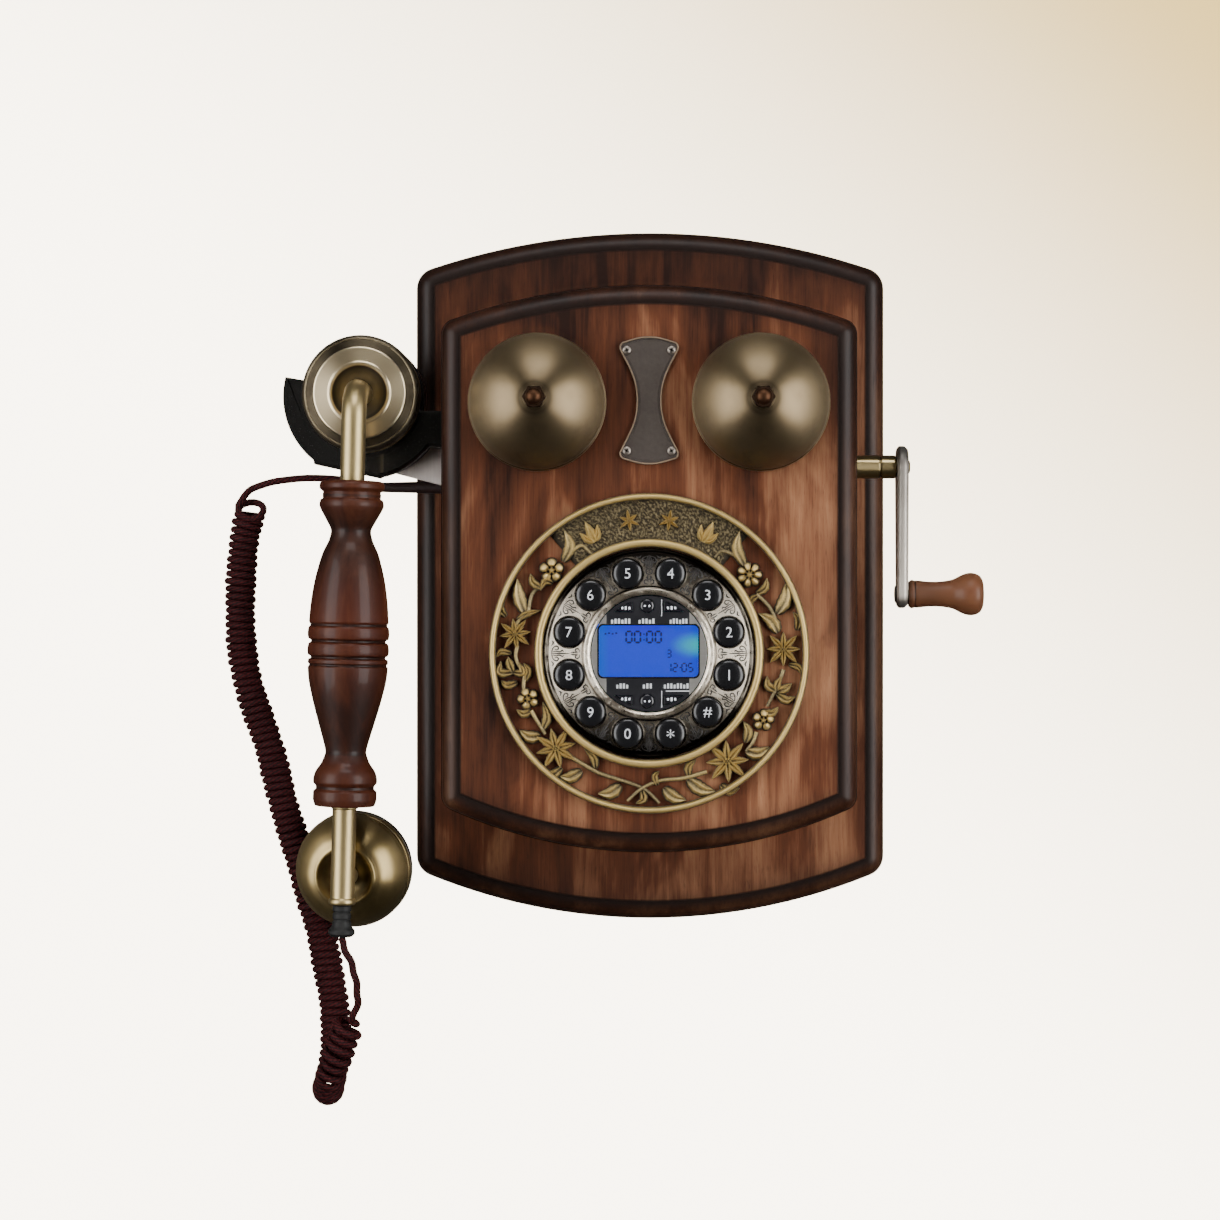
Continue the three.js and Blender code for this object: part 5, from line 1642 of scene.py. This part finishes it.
def make_buttons(centre):
    """Two round buttons and four corner buttons, with small pale signs on them."""
    gloss = plastic("button_black", "101014", 0.16, grain=0.01, coat=0.3)
    pale = ink("button_signs", srgb("cfd4da"))
    for row, rise in (("upper", 1), ("lower", -1)):
        for name, side in (("left", -1), ("middle", 0), ("right", 1)):
            node = f"button_{row}_{name}"
            low, high = box(node)
            back, front = -high.y, -low.y
            here = middle(node) - centre
            if side:
                shape = plate(wedge_outline(side, rise, 0), back, front, 0.45)
                sign = Shape()
                for k in (-1, 0, 1):
                    x, z = here.x - side * 0.8 + 1.5 * k, here.z - rise * 0.5
                    tall = 1.5 if (k + rise) % 2 else 1.0
                    sign.add(plate([(x - 0.4, z - tall / 2), (x + 0.4, z - tall / 2), (x + 0.4, z + tall / 2), (x - 0.4, z + tall / 2)],
                                   front - 0.2, front + 0.05, 0))
            else:
                profile = eased([(0, back), (2.9, back, 0.2), (2.9, front - 0.5, 0.4), (2.0, front - 0.05, 0.6), (0, front)], 0.3, 4)
                shape = turned(profile, 48).moved(at(here.x, 0, here.z) @ OUT)
                sign = Shape()
                for k in (-1, 1):
                    sign.add(rod((here.x + 0.95 * k, here.z), 0.42, front - 0.2, front + 0.02, 16))
            place = at(centre.x, 0, centre.z)
            piece(f"{row}_{name}_button", shape, gloss, [node], place)
            piece(f"{row}_{name}_sign", sign, pale, place=place, like=node)


def make_screen(dial):
    """The lit display with its dark figures, behind a clear window."""
    low, high = box("lcd_module")
    back, front = -high.y, -low.y
    centre = middle("lcd_module")
    outline = rounded_rectangle(high.x - low.x, high.z - low.z, 1.8, 0, 0)
    piece("lit_display", plate(outline, back, front, 0.4), lit_screen(), ["lcd_module"], at(centre.x, 0, centre.z))
    shape = segments("00:00", -9.4, 3.6, 4.6, front + 0.02)
    shape.add(segments("12-05", 7.6, -8.6, 3.4, front + 0.02))
    shape.add(segments("3", 7.8, -2.6, 3.0, front + 0.02))
    for k in range(4):
        shape.add(dash(-18.6 + 1.5 * k, -17.5 + 1.5 * k, 7.2 + 0.3 * (k % 2), 0.7, front + 0.02))
    figures = ink("lit_figures", tuple(dial.segment))
    piece("display_figures", shape, figures, place=at(centre.x, 0, centre.z), like="lcd_module")
    dress(window_glass(), "lcd_window")


# ---------------------------------------------------------------- crank


def make_crank():
    """The brass shaft, the tapered steel arm with its rivets, and the turned wooden knob."""
    axis = middle("crank_shaft")
    hub = at(0, axis.y, axis.z) @ RIGHT
    pin_axis = middle("crank_knob")
    grip = at(0, pin_axis.y, pin_axis.z) @ RIGHT
    bright = brass("crank_brass", rough=0.24, tarnish=0.25)
    low, high = box("crank_bush")
    flange = high.x - 2
    bush = [(5.25, low.x), (7, low.x), (7, flange), (9, flange, 0.2), (9, flange + 1.2, 0.5), (7.6, high.x, 0.6),
            (5.25, high.x), (5.25, low.x)]
    piece("shaft_bush", turned(eased(bush, 0.3, 4), 72), bright, ["crank_bush"], hub, tone=lambda p: 0.55 + 0.4 * (p.z > flange + 0.5))
    arm_low, arm_high = box("crank_arm")
    low, high = box("crank_shaft")
    seat = arm_low.x - 0.3
    shaft = [
        (0, low.x), (7.5, low.x, 0.5), (7.5, low.x + 4, 0.5), (5, low.x + 4), (5, seat - 7.2, 0.2), (4.6, seat - 7.0, 0.2),
        (4.6, seat - 6.4, 0.2), (5, seat - 6.2, 0.2), (5, seat - 0.6, 0.4), (4.4, seat), (3.2, seat), (3.2, high.x - 0.9, 0.3),
        (2.2, high.x - 0.1, 0.5), (0, high.x),
    ]
    piece(
        "crank_spindle", turned(eased(shaft, 0.25, 4), 64), bright, ["crank_shaft"], hub,
        tone=lambda p: 0.4 if seat - 7.1 < p.z < seat - 6.3 else 0.95,
    )
    wide, narrow = 9, 6
    reach = axis.z - pin_axis.z
    slope = math.degrees(math.acos((wide - narrow) / reach))
    outline = arc(0, 0, wide, slope - 90, 270 - slope, 28) + arc(0, -reach, narrow, 270 - slope, 270 + slope, 22)
    levels = eased([(1.2, arm_low.x), (0, arm_low.x + 0.9, 0.6), (0, arm_high.x - 1.3, 0.8), (1.4, arm_high.x, 0.8)], 0.4, 5)
    shape = levelled(lambda amount: inset(outline, amount), levels).moved(SIDEWAYS)
    through = Shape()
    for level, radius in ((0, 3.4), (-reach, 2.85)):
        through.add(sideways_rod((arm_low.x - 1, arm_high.x + 1), Vector((0, 0, level)), radius, 40))
    satin = steel("crank_steel", "d8cfc2", 0.4, 0.6)
    # The arm is darker round the hub and at its lower end past the pin; the lower end's darkening is a painted shadow.
    piece(
        "tapered_arm", shape, satin, ["crank_arm"], at(0, axis.y, axis.z), cut=through,
        tone=lambda p: 1 - 0.9 * smoothstep(-8, 5, p.z) - 0.85 * smoothstep(reach, reach + 4, -p.z),
    )
    low, high = box("knob_pin")
    pin = [(0, low.x), (3.0, low.x, 0.3), (3.8, low.x + 0.4, 0.3), (3.8, arm_low.x - 0.15), (2.6, arm_low.x - 0.15),
           (2.6, high.x, 0.4), (0, high.x)]
    piece("knob_spindle", turned(eased(pin, 0.2, 3), 40), satin, ["knob_pin"], grip, tone=lambda p: 0.12)
    low, high = box("crank_knob")
    start, end = low.x, high.x
    outside = [
        (2.9, 0), (5.2, 0, 0.2), (6.1, 1.0, 0.5), (6.2, 1.8, 0.5), (5.7, 2.6, 0.2), (5.9, 3.2, 0.2), (5.75, 5), (5.3, 9),
        (5.4, 14), (6.2, 19), (8.4, 23), (9.25, 26), (9.0, 28.6), (7.9, 30.8), (5.6, end - start - 0.05, 1), (0, end - start),
    ]
    bore = [(0, end - start - 4), (2.9, end - start - 4), (2.9, 0)]
    curve = eased(outside, 1.8, 6) + bore
    profile = [(r, start + h) for r, h in curve]
    piece(
        "turned_knob", turned(profile, 72), turned_wood("knob_wood", settings().wood.knob), ["crank_knob"], grip, crease=50,
        tone=lambda p: 0.6 + 0.35 * smoothstep(start + 8, start + 24, p.z) - 0.5 * (start + 2.3 < p.z < start + 2.9),
    )


# ---------------------------------------------------------------- cradle


def polar(x, z, radius, angle):
    return (x + radius * math.cos(math.radians(angle)), z + radius * math.sin(math.radians(angle)))


def make_cradle():
    """The black fork that the earpiece hangs in, and the steel lever with its heel."""
    low, high = box("cradle_fork")
    ear = middle("earpiece_shell")
    x, z = ear.x, ear.z
    back, front = -high.y, -low.y
    outer, notch, inner = 35.3, 36.4, 24
    neck = 21.5
    inner_z = z - neck - 0.3 + inner
    outline = [
        *arc(x, z, outer, 166, 231, 30), polar(x, z, notch, 233), polar(x, z, outer + 0.4, 280),
        *arc(x, z, outer, 282, 322, 20), (-90, 54.4), (high.x, 56), (high.x, 70), (-97.4, 70.6),
        *arc(x, inner_z, inner, -19.5, -180, 60), (x - inner - 0.3, z + 6.8),
    ]
    levels = eased([(1.0, back), (0, back + 1.0, 0.8), (0, front - 1.4, 1.1), (1.4, front, 1.1)], 0.5, 5)
    levels += [(2.2, front)]
    pivot = Vector((-70, 62))
    hole = rod(tuple(pivot), 2.8, back - 1, front + 1, 32)
    casting = plastic("fork_black", "0f0e0d", 0.22, grain=0.02, coat=0.35)
    piece("cradle_crescent", levelled(lambda amount: inset(outline, amount), levels), casting, ["cradle_fork"], cut=hole)
    low, high = box("cradle_plate")
    back, front = -high.y, -low.y
    corners = [
        (high.x, 56), (high.x, 68), (-90, 68), (-99, 60), (-104, 52), (low.x, 44.6), (-89, low.z), (-86.5, low.z), (-86.5, 55),
    ]
    rounded = soft_corners(corners, 1.6)
    levels = eased([(0.4, back), (0, back + 0.4, 0.3), (0, front - 0.4, 0.3), (0.4, front)], 0.3, 3)
    hole = rod(tuple(pivot), 2.8, back - 1, front + 1, 32)
    lever = steel("lever_steel", "efe4dc", 0.5, 0.1)
    piece("cradle_lever", levelled(lambda amount: inset(rounded, amount), levels), lever, ["cradle_plate"], cut=hole)


def soft_corners(corners, reach, steps=5):
    """Rounds the corners of a closed outline."""
    curve = eased([*corners, corners[0]], reach, steps)[:-1]
    area = sum(a[0] * b[1] - b[0] * a[1] for a, b in zip(curve, curve[1:] + curve[:1]))
    return curve if area > 0 else curve[::-1]


# ---------------------------------------------------------------- handset

LEAN = 1.37 # degrees that the handset hangs off the upright
EAR_HEIGHT = 76.6 # of the earpiece's centre, over the handle's own origin
MOUTH_TILT, MOUTH_TURN = 5.5, -6.5 # degrees that the mouthpiece looks down, and to the left

HANDLE = [
    (0, 38.3), (12.2, 38.3, 0.6), (13.5, 37.2, 0.8), (13.6, 35.0, 0.6), (11.9, 33.6, 0.3), (12.2, 32.4, 0.4),
    (12.0, 30.9, 0.2), (13.0, 30.4, 0.4), (13.6, 28.2, 1.2), (12.9, 26.4, 1.2), (10.9, 22.8, 2), (8.4, 18.3, 1.6),
    (8.3, 16.6, 0.8), (9.2, 13.0, 2), (11.5, 8.7, 3), (13.3, 2.4, 3), (14.8, -3.9, 4), (16.1, -13, 4), (16.6, -20.6, 0.3),
    (16.0, -21.5, 0.2), (16.0, -22.2, 0.2), (16.7, -22.8, 0.5), (17.1, -25.3, 1.6), (16.7, -27.6, 0.4), (15.5, -28.2, 0.2),
    (15.5, -28.9, 0.2), (16.6, -29.6, 0.4), (17.1, -32.3, 1.6), (16.7, -34.4, 0.4), (15.5, -35.0, 0.2), (15.5, -35.7, 0.2),
    (16.6, -36.2, 0.4), (16.7, -37.8, 0.3), (16.1, -38.2, 0.2), (16.1, -38.8, 0.2), (16.7, -39.3, 0.3), (16.3, -44.7, 3),
    (14.7, -51.8, 4), (12.8, -58.9, 4), (10.6, -66.4, 4), (8.9, -72.4, 3), (8.4, -74.9, 1), (8.9, -76.4, 1), (10.0, -79.4, 1.5),
    (12.5, -82.7, 1.5), (13.3, -85.6, 1), (13.3, -87.6, 0.6), (12.1, -88.9, 0.3), (12.1, -90.2, 0.3), (13.2, -91.0, 0.5),
    (13.3, -94.6, 0.8), (12.4, -97.3, 0.7), (0, -97.3),
]
GROOVES = (31.8, 17.4, -21.9, -28.5, -35.3, -38.5, -75.4, -89.5)


def hanging():
    """Where the handset's own frame stands: its origin on the handle's axis, leaning."""
    ear = middle("earpiece_shell")
    return at(ear.x, 0, ear.z) @ Matrix.Rotation(math.radians(LEAN), 4, "Y") @ at(0, 0, -EAR_HEIGHT)


def handle_tone(height):
    """Reddish head and foot, near-black neck and waist, and a red belly; grooves are dark."""
    stops = [(-98, 0.55), (-80, 0.5), (-74, 0.1), (-56, 0.15), (-42, 0.5), (-20, 0.8), (-6, 0.5), (8, 0.08), (20, 0.05), (28, 0.45), (39, 0.6)]
    tone = 0.5
    for (a, first), (b, second) in zip(stops, stops[1:]):
        if a <= height <= b:
            tone = first + (second - first) * (height - a) / (b - a)
    for groove in GROOVES:
        tone *= smoothstep(0.35, 0.8, abs(height - groove)) * 0.85 + 0.15
    return tone


def make_handset():
    """The turned handle between two brass ends, with its tubes and its gland."""
    frame_of = hanging()
    axis = middle("handset_handle").y
    stem = frame_of @ at(0, axis, 0)
    wood = turned_wood("handle_wood", settings().wood.turned)
    piece("turned_handle", turned(eased(HANDLE, 0.4, 4), 96), wood, ["handset_handle"], stem, tone=lambda p: handle_tone(p.z), crease=50)
    bright = brass("tube_brass", spun=False, rough=0.36, tarnish=0.3)
    bend, start, radius = 12, -73.8, 5.15
    elbow = [(0, axis + bend - bend * math.sin(t), EAR_HEIGHT - bend + bend * math.cos(t))
             for t in (math.radians(7.5 * k) for k in range(13))]
    path = [(0, start, EAR_HEIGHT), (0, start - 3, EAR_HEIGHT), *elbow, (0, axis, 52), (0, axis, 38.6)]
    piece("upper_stem", swept([Vector(p) for p in path], radius, 48), bright, ["upper_tube"], frame_of)
    low_stem = [
        (0, -97.6), (5.6, -97.6, 0.3), (5.6, -98.2, 0.2), (5.0, -98.5, 0.2), (5.0, -135.6, 0.2),
        (5.5, -136.2, 0.3), (5.75, -137.2, 0.4), (5.5, -138.1, 0.3), (4.8, -138.5), (0, -138.5),
    ]
    mouth = frame_of @ at(0.7, 0, -126.8)
    lower = turned(eased(low_stem, 0.3, 4), 64).moved(at(0, axis, 0))
    stub = rod((0.7, -127.4), 4.2, 84.2, -axis, 32)
    piece("lower_stem", lower.add(stub), bright, ["lower_tube"], frame_of)
    gland = [
        (0, -138.8), (3.9, -138.8, 0.3), (3.9, -141.0, 0.2), (3.5, -141.3, 0.1), (3.5, -141.8, 0.1), (3.9, -142.1, 0.2),
        (3.9, -144.2, 0.2), (3.5, -144.5, 0.1), (3.5, -145.0, 0.1), (3.9, -145.3, 0.2), (4.0, -147.4, 0.8), (5.5, -149.0, 0.5),
        (5.6, -150.6, 0.4), (4.4, -151.8, 0.5), (0, -151.8),
    ]
    rubber = plastic("gland_rubber", "070706", 0.6)
    piece("strain_relief", turned(eased(gland, 0.2, 4), 56), rubber, ["handset_gland"], stem)
    make_earpiece(frame_of)
    make_mouthpiece(mouth)


def make_earpiece(frame_of):
    """The earpiece: a bronze rim, a bright brushed ring and a bowl at its centre, with a cap at the wall side."""
    ear = middle("earpiece_shell")
    place = at(ear.x, 0, ear.z) @ OUT
    skin = brass("ear_brass", rough=0.26, tarnish=0.3, tint=settings().metal.ring)
    shell = [
        (0, 73.4), (4, 73.5), (8.2, 74.4, 2), (10.4, 77.2, 1.5), (11.5, 79.4, 0.5), (12.1, 80.0, 0.3), (13.0, 80.0, 0.4),
        (13.5, 79.6, 0.2), (19.1, 79.4, 0.2), (19.7, 79.1, 0.3), (19.9, 78.2, 0.2), (20.5, 78.0, 0.3), (22.7, 77.4, 0.2),
        (23.0, 77.0, 0.1), (23.3, 77.3, 0.1), (24.3, 76.6, 0.6), (24.9, 75.2, 0.6), (24.9, 65.2, 0.3), (24.5, 64.8, 0.1),
        (24.9, 64.4, 0.1), (24.9, 63.4, 0.4), (23.4, 62.3, 0.4), (21.5, 62.0, 0.4), (21.5, 46.5), (19.5, 46.5), (19.5, 66), (0, 66),
    ]

    def tone(point):
        reach = math.hypot(point.x, point.y)
        if point.z < 73:
            return 0.6
        ring = smoothstep(11.2, 12.0, reach) * (1 - smoothstep(19.4, 19.9, reach))
        line = smoothstep(22.8, 23.1, reach) * (1 - smoothstep(23.2, 23.6, reach))
        bowl = 1 - smoothstep(9.5, 11.4, reach)
        return 0.06 + 0.9 * ring + 0.5 * line + 0.2 * bowl

    piece("earpiece_bell", turned(eased(shell, 0.25, 4), 120), skin, ["earpiece_shell"], place, tone=tone)
    cap = [
        (0, 33.6), (8.6, 33.3, 0.6), (9.4, 32.6, 0.4), (13, 31.9), (17.6, 31.0, 1), (21.0, 30.0, 1), (23.2, 31.0, 1), (24.3, 33.2, 0.8),
        (24.9, 36.2, 0.8), (24.9, 43.0, 0.4), (24.4, 43.6, 0.2), (24.4, 44.4, 0.2), (23.4, 46.2, 0.5), (0, 46.2),
    ]
    holes = Shape()
    for radius, count in ((0, 1), (2.6, 6), (5.2, 12)):
        for k in range(count):
            angle = 2 * math.pi * k / count
            centre = Vector((radius * math.cos(angle), radius * math.sin(angle)))
            holes.add(rod(tuple(centre), 0.7, 28, 35.5, 14).moved(OUT.inverted()))
    piece("earpiece_cover", turned(eased(cap, 0.3, 4), 96), plastic("cap_black", "121010", 0.25, coat=0.3), ["earpiece_cap"], place, cut=holes)


def make_mouthpiece(mouth):
    """The mouthpiece: a brass dome with a lipped opening in front, and a perforated cover behind it."""
    centre_out = 78
    tilt = Matrix.Rotation(math.radians(MOUTH_TURN), 4, "Z") @ Matrix.Rotation(math.radians(MOUTH_TILT), 4, "X")
    place = mouth @ at(0, -centre_out, 0) @ tilt @ at(0, centre_out, 0) @ OUT
    skin = brass("mouth_brass", rough=0.26, tarnish=0.4, tint=srgb("8a7852"))
    shell = [
        (0, 83.0), (4, 83.1), (7.4, 83.6, 1.5), (9.6, 85.8, 1.5), (10.9, 87.6, 0.5), (11.6, 88.3, 0.3), (12.5, 88.4, 0.4),
        (13.2, 88.0, 0.3), (16, 87.2, 2), (20.4, 83.4, 2.5), (23.4, 77.8, 2.5), (24.4, 73.6, 0.6), (24.1, 73.0, 0.15),
        (24.1, 72.6, 0.15), (24.6, 72.1, 0.3), (24.6, 68.5), (22.6, 68.5), (22, 73), (18.6, 78.4, 2), (10, 80.8, 1), (0, 80.8),
    ]

    def tone(point):
        reach = math.hypot(point.x, point.y)
        lip = smoothstep(11.0, 11.6, reach) * (1 - smoothstep(13.0, 13.6, reach))
        bowl = 1 - smoothstep(9.0, 11.4, reach)
        groove = 1 - smoothstep(0.3, 0.9, abs(point.z - 72.8))
        return 0.86 + 0.14 * lip - 0.45 * bowl - 0.5 * groove

    piece("mouthpiece_dome", turned(eased(shell, 0.3, 5), 120), skin, ["mouthpiece_shell"], place, tone=tone)
    cover = [
        (0, 56.4), (9, 56.6), (15.2, 57.0, 2), (21, 59.0, 2), (24, 62.5, 1.5), (24.6, 66, 1), (24.6, 68.2, 0.3), (0, 68.2),
    ]
    holes = Shape()
    pitch = 3.7
    for row in range(-6, 7):
        for column in range(-6, 7):
            x, z = pitch * (column + 0.5 * (row % 2)), pitch * row * math.sqrt(0.75)
            if math.hypot(x, z) < 19.5:
                holes.add(rod((x, z), 1.15, 50, 60.5 + 1.5 * (math.hypot(x, z) > 14), 12).moved(OUT.inverted()))
    for k in range(40):
        angle = 360 / 40 * k
        spoke = sideways_rod((22.9, 26), Vector((0, 0, 0)), 1.0, 10)
        for level, turn in ((64.2, 0), (66.6, 4.5)):
            copy = Shape(spoke.points, spoke.faces)
            copy.moved(Matrix.Rotation(math.radians(angle + turn), 4, "Z")).moved(at(0, 0, level))
            holes.add(copy)
    piece(
        "perforated_cover", turned(eased(cover, 0.4, 4), 96), plastic("cover_black", "15120f", 0.3, coat=0.2),
        ["mouthpiece_grille"], place, cut=holes,
    )


# ---------------------------------------------------------------- works


def circuit_board():
    f = Finish("circuit_board")
    fine = f.noise(900, (1, 1, 1), 2, 0.5)
    tracks = f.cells(260, "DISTANCE_TO_EDGE", (1, 1, 1)).above(0.02, 0.05)
    tint = f.mix(tracks, srgb("3f8a58"), srgb("17492b"))
    return f.made(Base_Color=f.mix(fine * 0.3, tint, srgb("0f2f1c")), Roughness=0.45 + fine * 0.1, Normal=f.bump(tracks, 0.03))


def wound_copper():
    f = Finish("wound_copper")
    turns = (f.axis(1) * 9000).function("SINE") * 0.5 + 0.5
    fine = f.noise(1200, (1, 1, 1), 2, 0.5)
    tint = f.mix(turns, srgb("5c2513"), srgb("c4713c"))
    return f.made(Base_Color=tint, Metallic=0.8, Roughness=0.35 + fine * 0.1, Normal=f.bump(turns, 0.08))


def make_works():
    """Finishes for the parts inside the case, whose shapes stay as they are."""
    dress(circuit_board(), "main_board", "keypad_board")
    dress(wound_copper(), "ringer_coil")
    dress(brass("striker_brass", spun=False), "ringer_clapper")
    dress(steel("bracket_steel", "a8a39d", 0.4), "hook_bracket", "hanger_plate")
    dress(plastic("works_black", "141313", 0.45), "hook_switch", "line_jack", "receiver_capsule", "microphone_capsule")


# ---------------------------------------------------------------- operators


class Maker(Operator):
    """Base of the operators: runs one making function."""

    bl_options = {"REGISTER", "UNDO"}
    make = None

    def execute(self, context):
        type(self).make()
        return {"FINISHED"}


class TELEPHONE_OT_stage(Maker):
    """Camera, soft lights, pale floor and backdrop"""

    bl_idname = "telephone.stage"
    bl_label = "Stage"
    make = staticmethod(make_stage)


class TELEPHONE_OT_cord(Maker):
    """Curly cord from the case to the handset, and its sleeve"""

    bl_idname = "telephone.cord"
    bl_label = "Curly cord"
    make = staticmethod(make_cord)


class TELEPHONE_OT_boards(Maker):
    """Arched back board, moulded front panel and the case between them"""

    bl_idname = "telephone.boards"
    bl_label = "Boards"
    make = staticmethod(make_boards)


class TELEPHONE_OT_bells(Maker):
    """Two spun bells and their domed screws"""

    bl_idname = "telephone.bells"
    bl_label = "Bells"
    make = staticmethod(make_bells)


class TELEPHONE_OT_name_plate(Maker):
    """Waisted name plate with its ornament and screws"""

    bl_idname = "telephone.name_plate"
    bl_label = "Name plate"
    make = staticmethod(make_name_plate)


class TELEPHONE_OT_cast_ring(Maker):
    """Cast ring of leaves and flowers round the keypad"""

    bl_idname = "telephone.cast_ring"
    bl_label = "Cast ring"
    make = staticmethod(make_cast_ring)


class TELEPHONE_OT_keypad_plate(Maker):
    """Engraved plate that the keys stand in"""

    bl_idname = "telephone.keypad_plate"
    bl_label = "Keypad plate"
    make = staticmethod(make_keypad_plate)


class TELEPHONE_OT_keys(Maker):
    """Twelve domed keys with their figures"""

    bl_idname = "telephone.keys"
    bl_label = "Keys"
    make = staticmethod(make_keys)


class TELEPHONE_OT_display(Maker):
    """Display panel, lit display, window and six buttons"""

    bl_idname = "telephone.display"
    bl_label = "Display"
    make = staticmethod(make_display)


class TELEPHONE_OT_crank(Maker):
    """Crank with its shaft, arm and wooden knob"""

    bl_idname = "telephone.crank"
    bl_label = "Crank"
    make = staticmethod(make_crank)


class TELEPHONE_OT_cradle(Maker):
    """Fork and lever that the handset hangs on"""

    bl_idname = "telephone.cradle"
    bl_label = "Cradle"
    make = staticmethod(make_cradle)


class TELEPHONE_OT_handset(Maker):
    """Handset: turned handle, tubes, earpiece, mouthpiece and gland"""

    bl_idname = "telephone.handset"
    bl_label = "Handset"
    make = staticmethod(make_handset)


class TELEPHONE_OT_works(Maker):
    """Finishes of the ringer, switch and boards inside the case"""

    bl_idname = "telephone.works"
    bl_label = "Works"
    make = staticmethod(make_works)


OPERATORS = (
    TELEPHONE_OT_stage, TELEPHONE_OT_cord, TELEPHONE_OT_boards, TELEPHONE_OT_bells, TELEPHONE_OT_name_plate,
    TELEPHONE_OT_cast_ring, TELEPHONE_OT_keypad_plate, TELEPHONE_OT_keys, TELEPHONE_OT_display,
    TELEPHONE_OT_crank, TELEPHONE_OT_cradle, TELEPHONE_OT_handset, TELEPHONE_OT_works,
)


class TELEPHONE_PT_build(Panel):
    """Lists the making steps and the sizes and colours behind them"""

    bl_idname = "TELEPHONE_PT_build"
    bl_label = "Telephone"
    bl_space_type = "VIEW_3D"
    bl_region_type = "UI"
    bl_category = "Telephone"

    def draw(self, context):
        column = self.layout.column(align=True)
        for operator in OPERATORS:
            column.operator(operator.bl_idname)
        for group in TelephoneSettings.__annotations__:
            owner = getattr(context.scene.telephone, group)
            shelf = self.layout.box()
            shelf.label(text=group.title())
            for name in owner.__annotations__:
                shelf.prop(owner, name)


CLASSES = (
    WoodSettings, MetalSettings, DialSettings, CordSettings, StudioSettings, TelephoneSettings, *OPERATORS,
    TELEPHONE_PT_build,
)


def register():
    for cls in CLASSES:
        bpy.utils.register_class(cls)
    bpy.types.Scene.telephone = PointerProperty(type=TelephoneSettings)


def unregister():
    del bpy.types.Scene.telephone
    for cls in reversed(CLASSES):
        bpy.utils.unregister_class(cls)


def main():
    register()
    for operator in OPERATORS:
        group, name = operator.bl_idname.split(".")
        getattr(getattr(bpy.ops, group), name)()


if __name__ == "__main__":
    main()
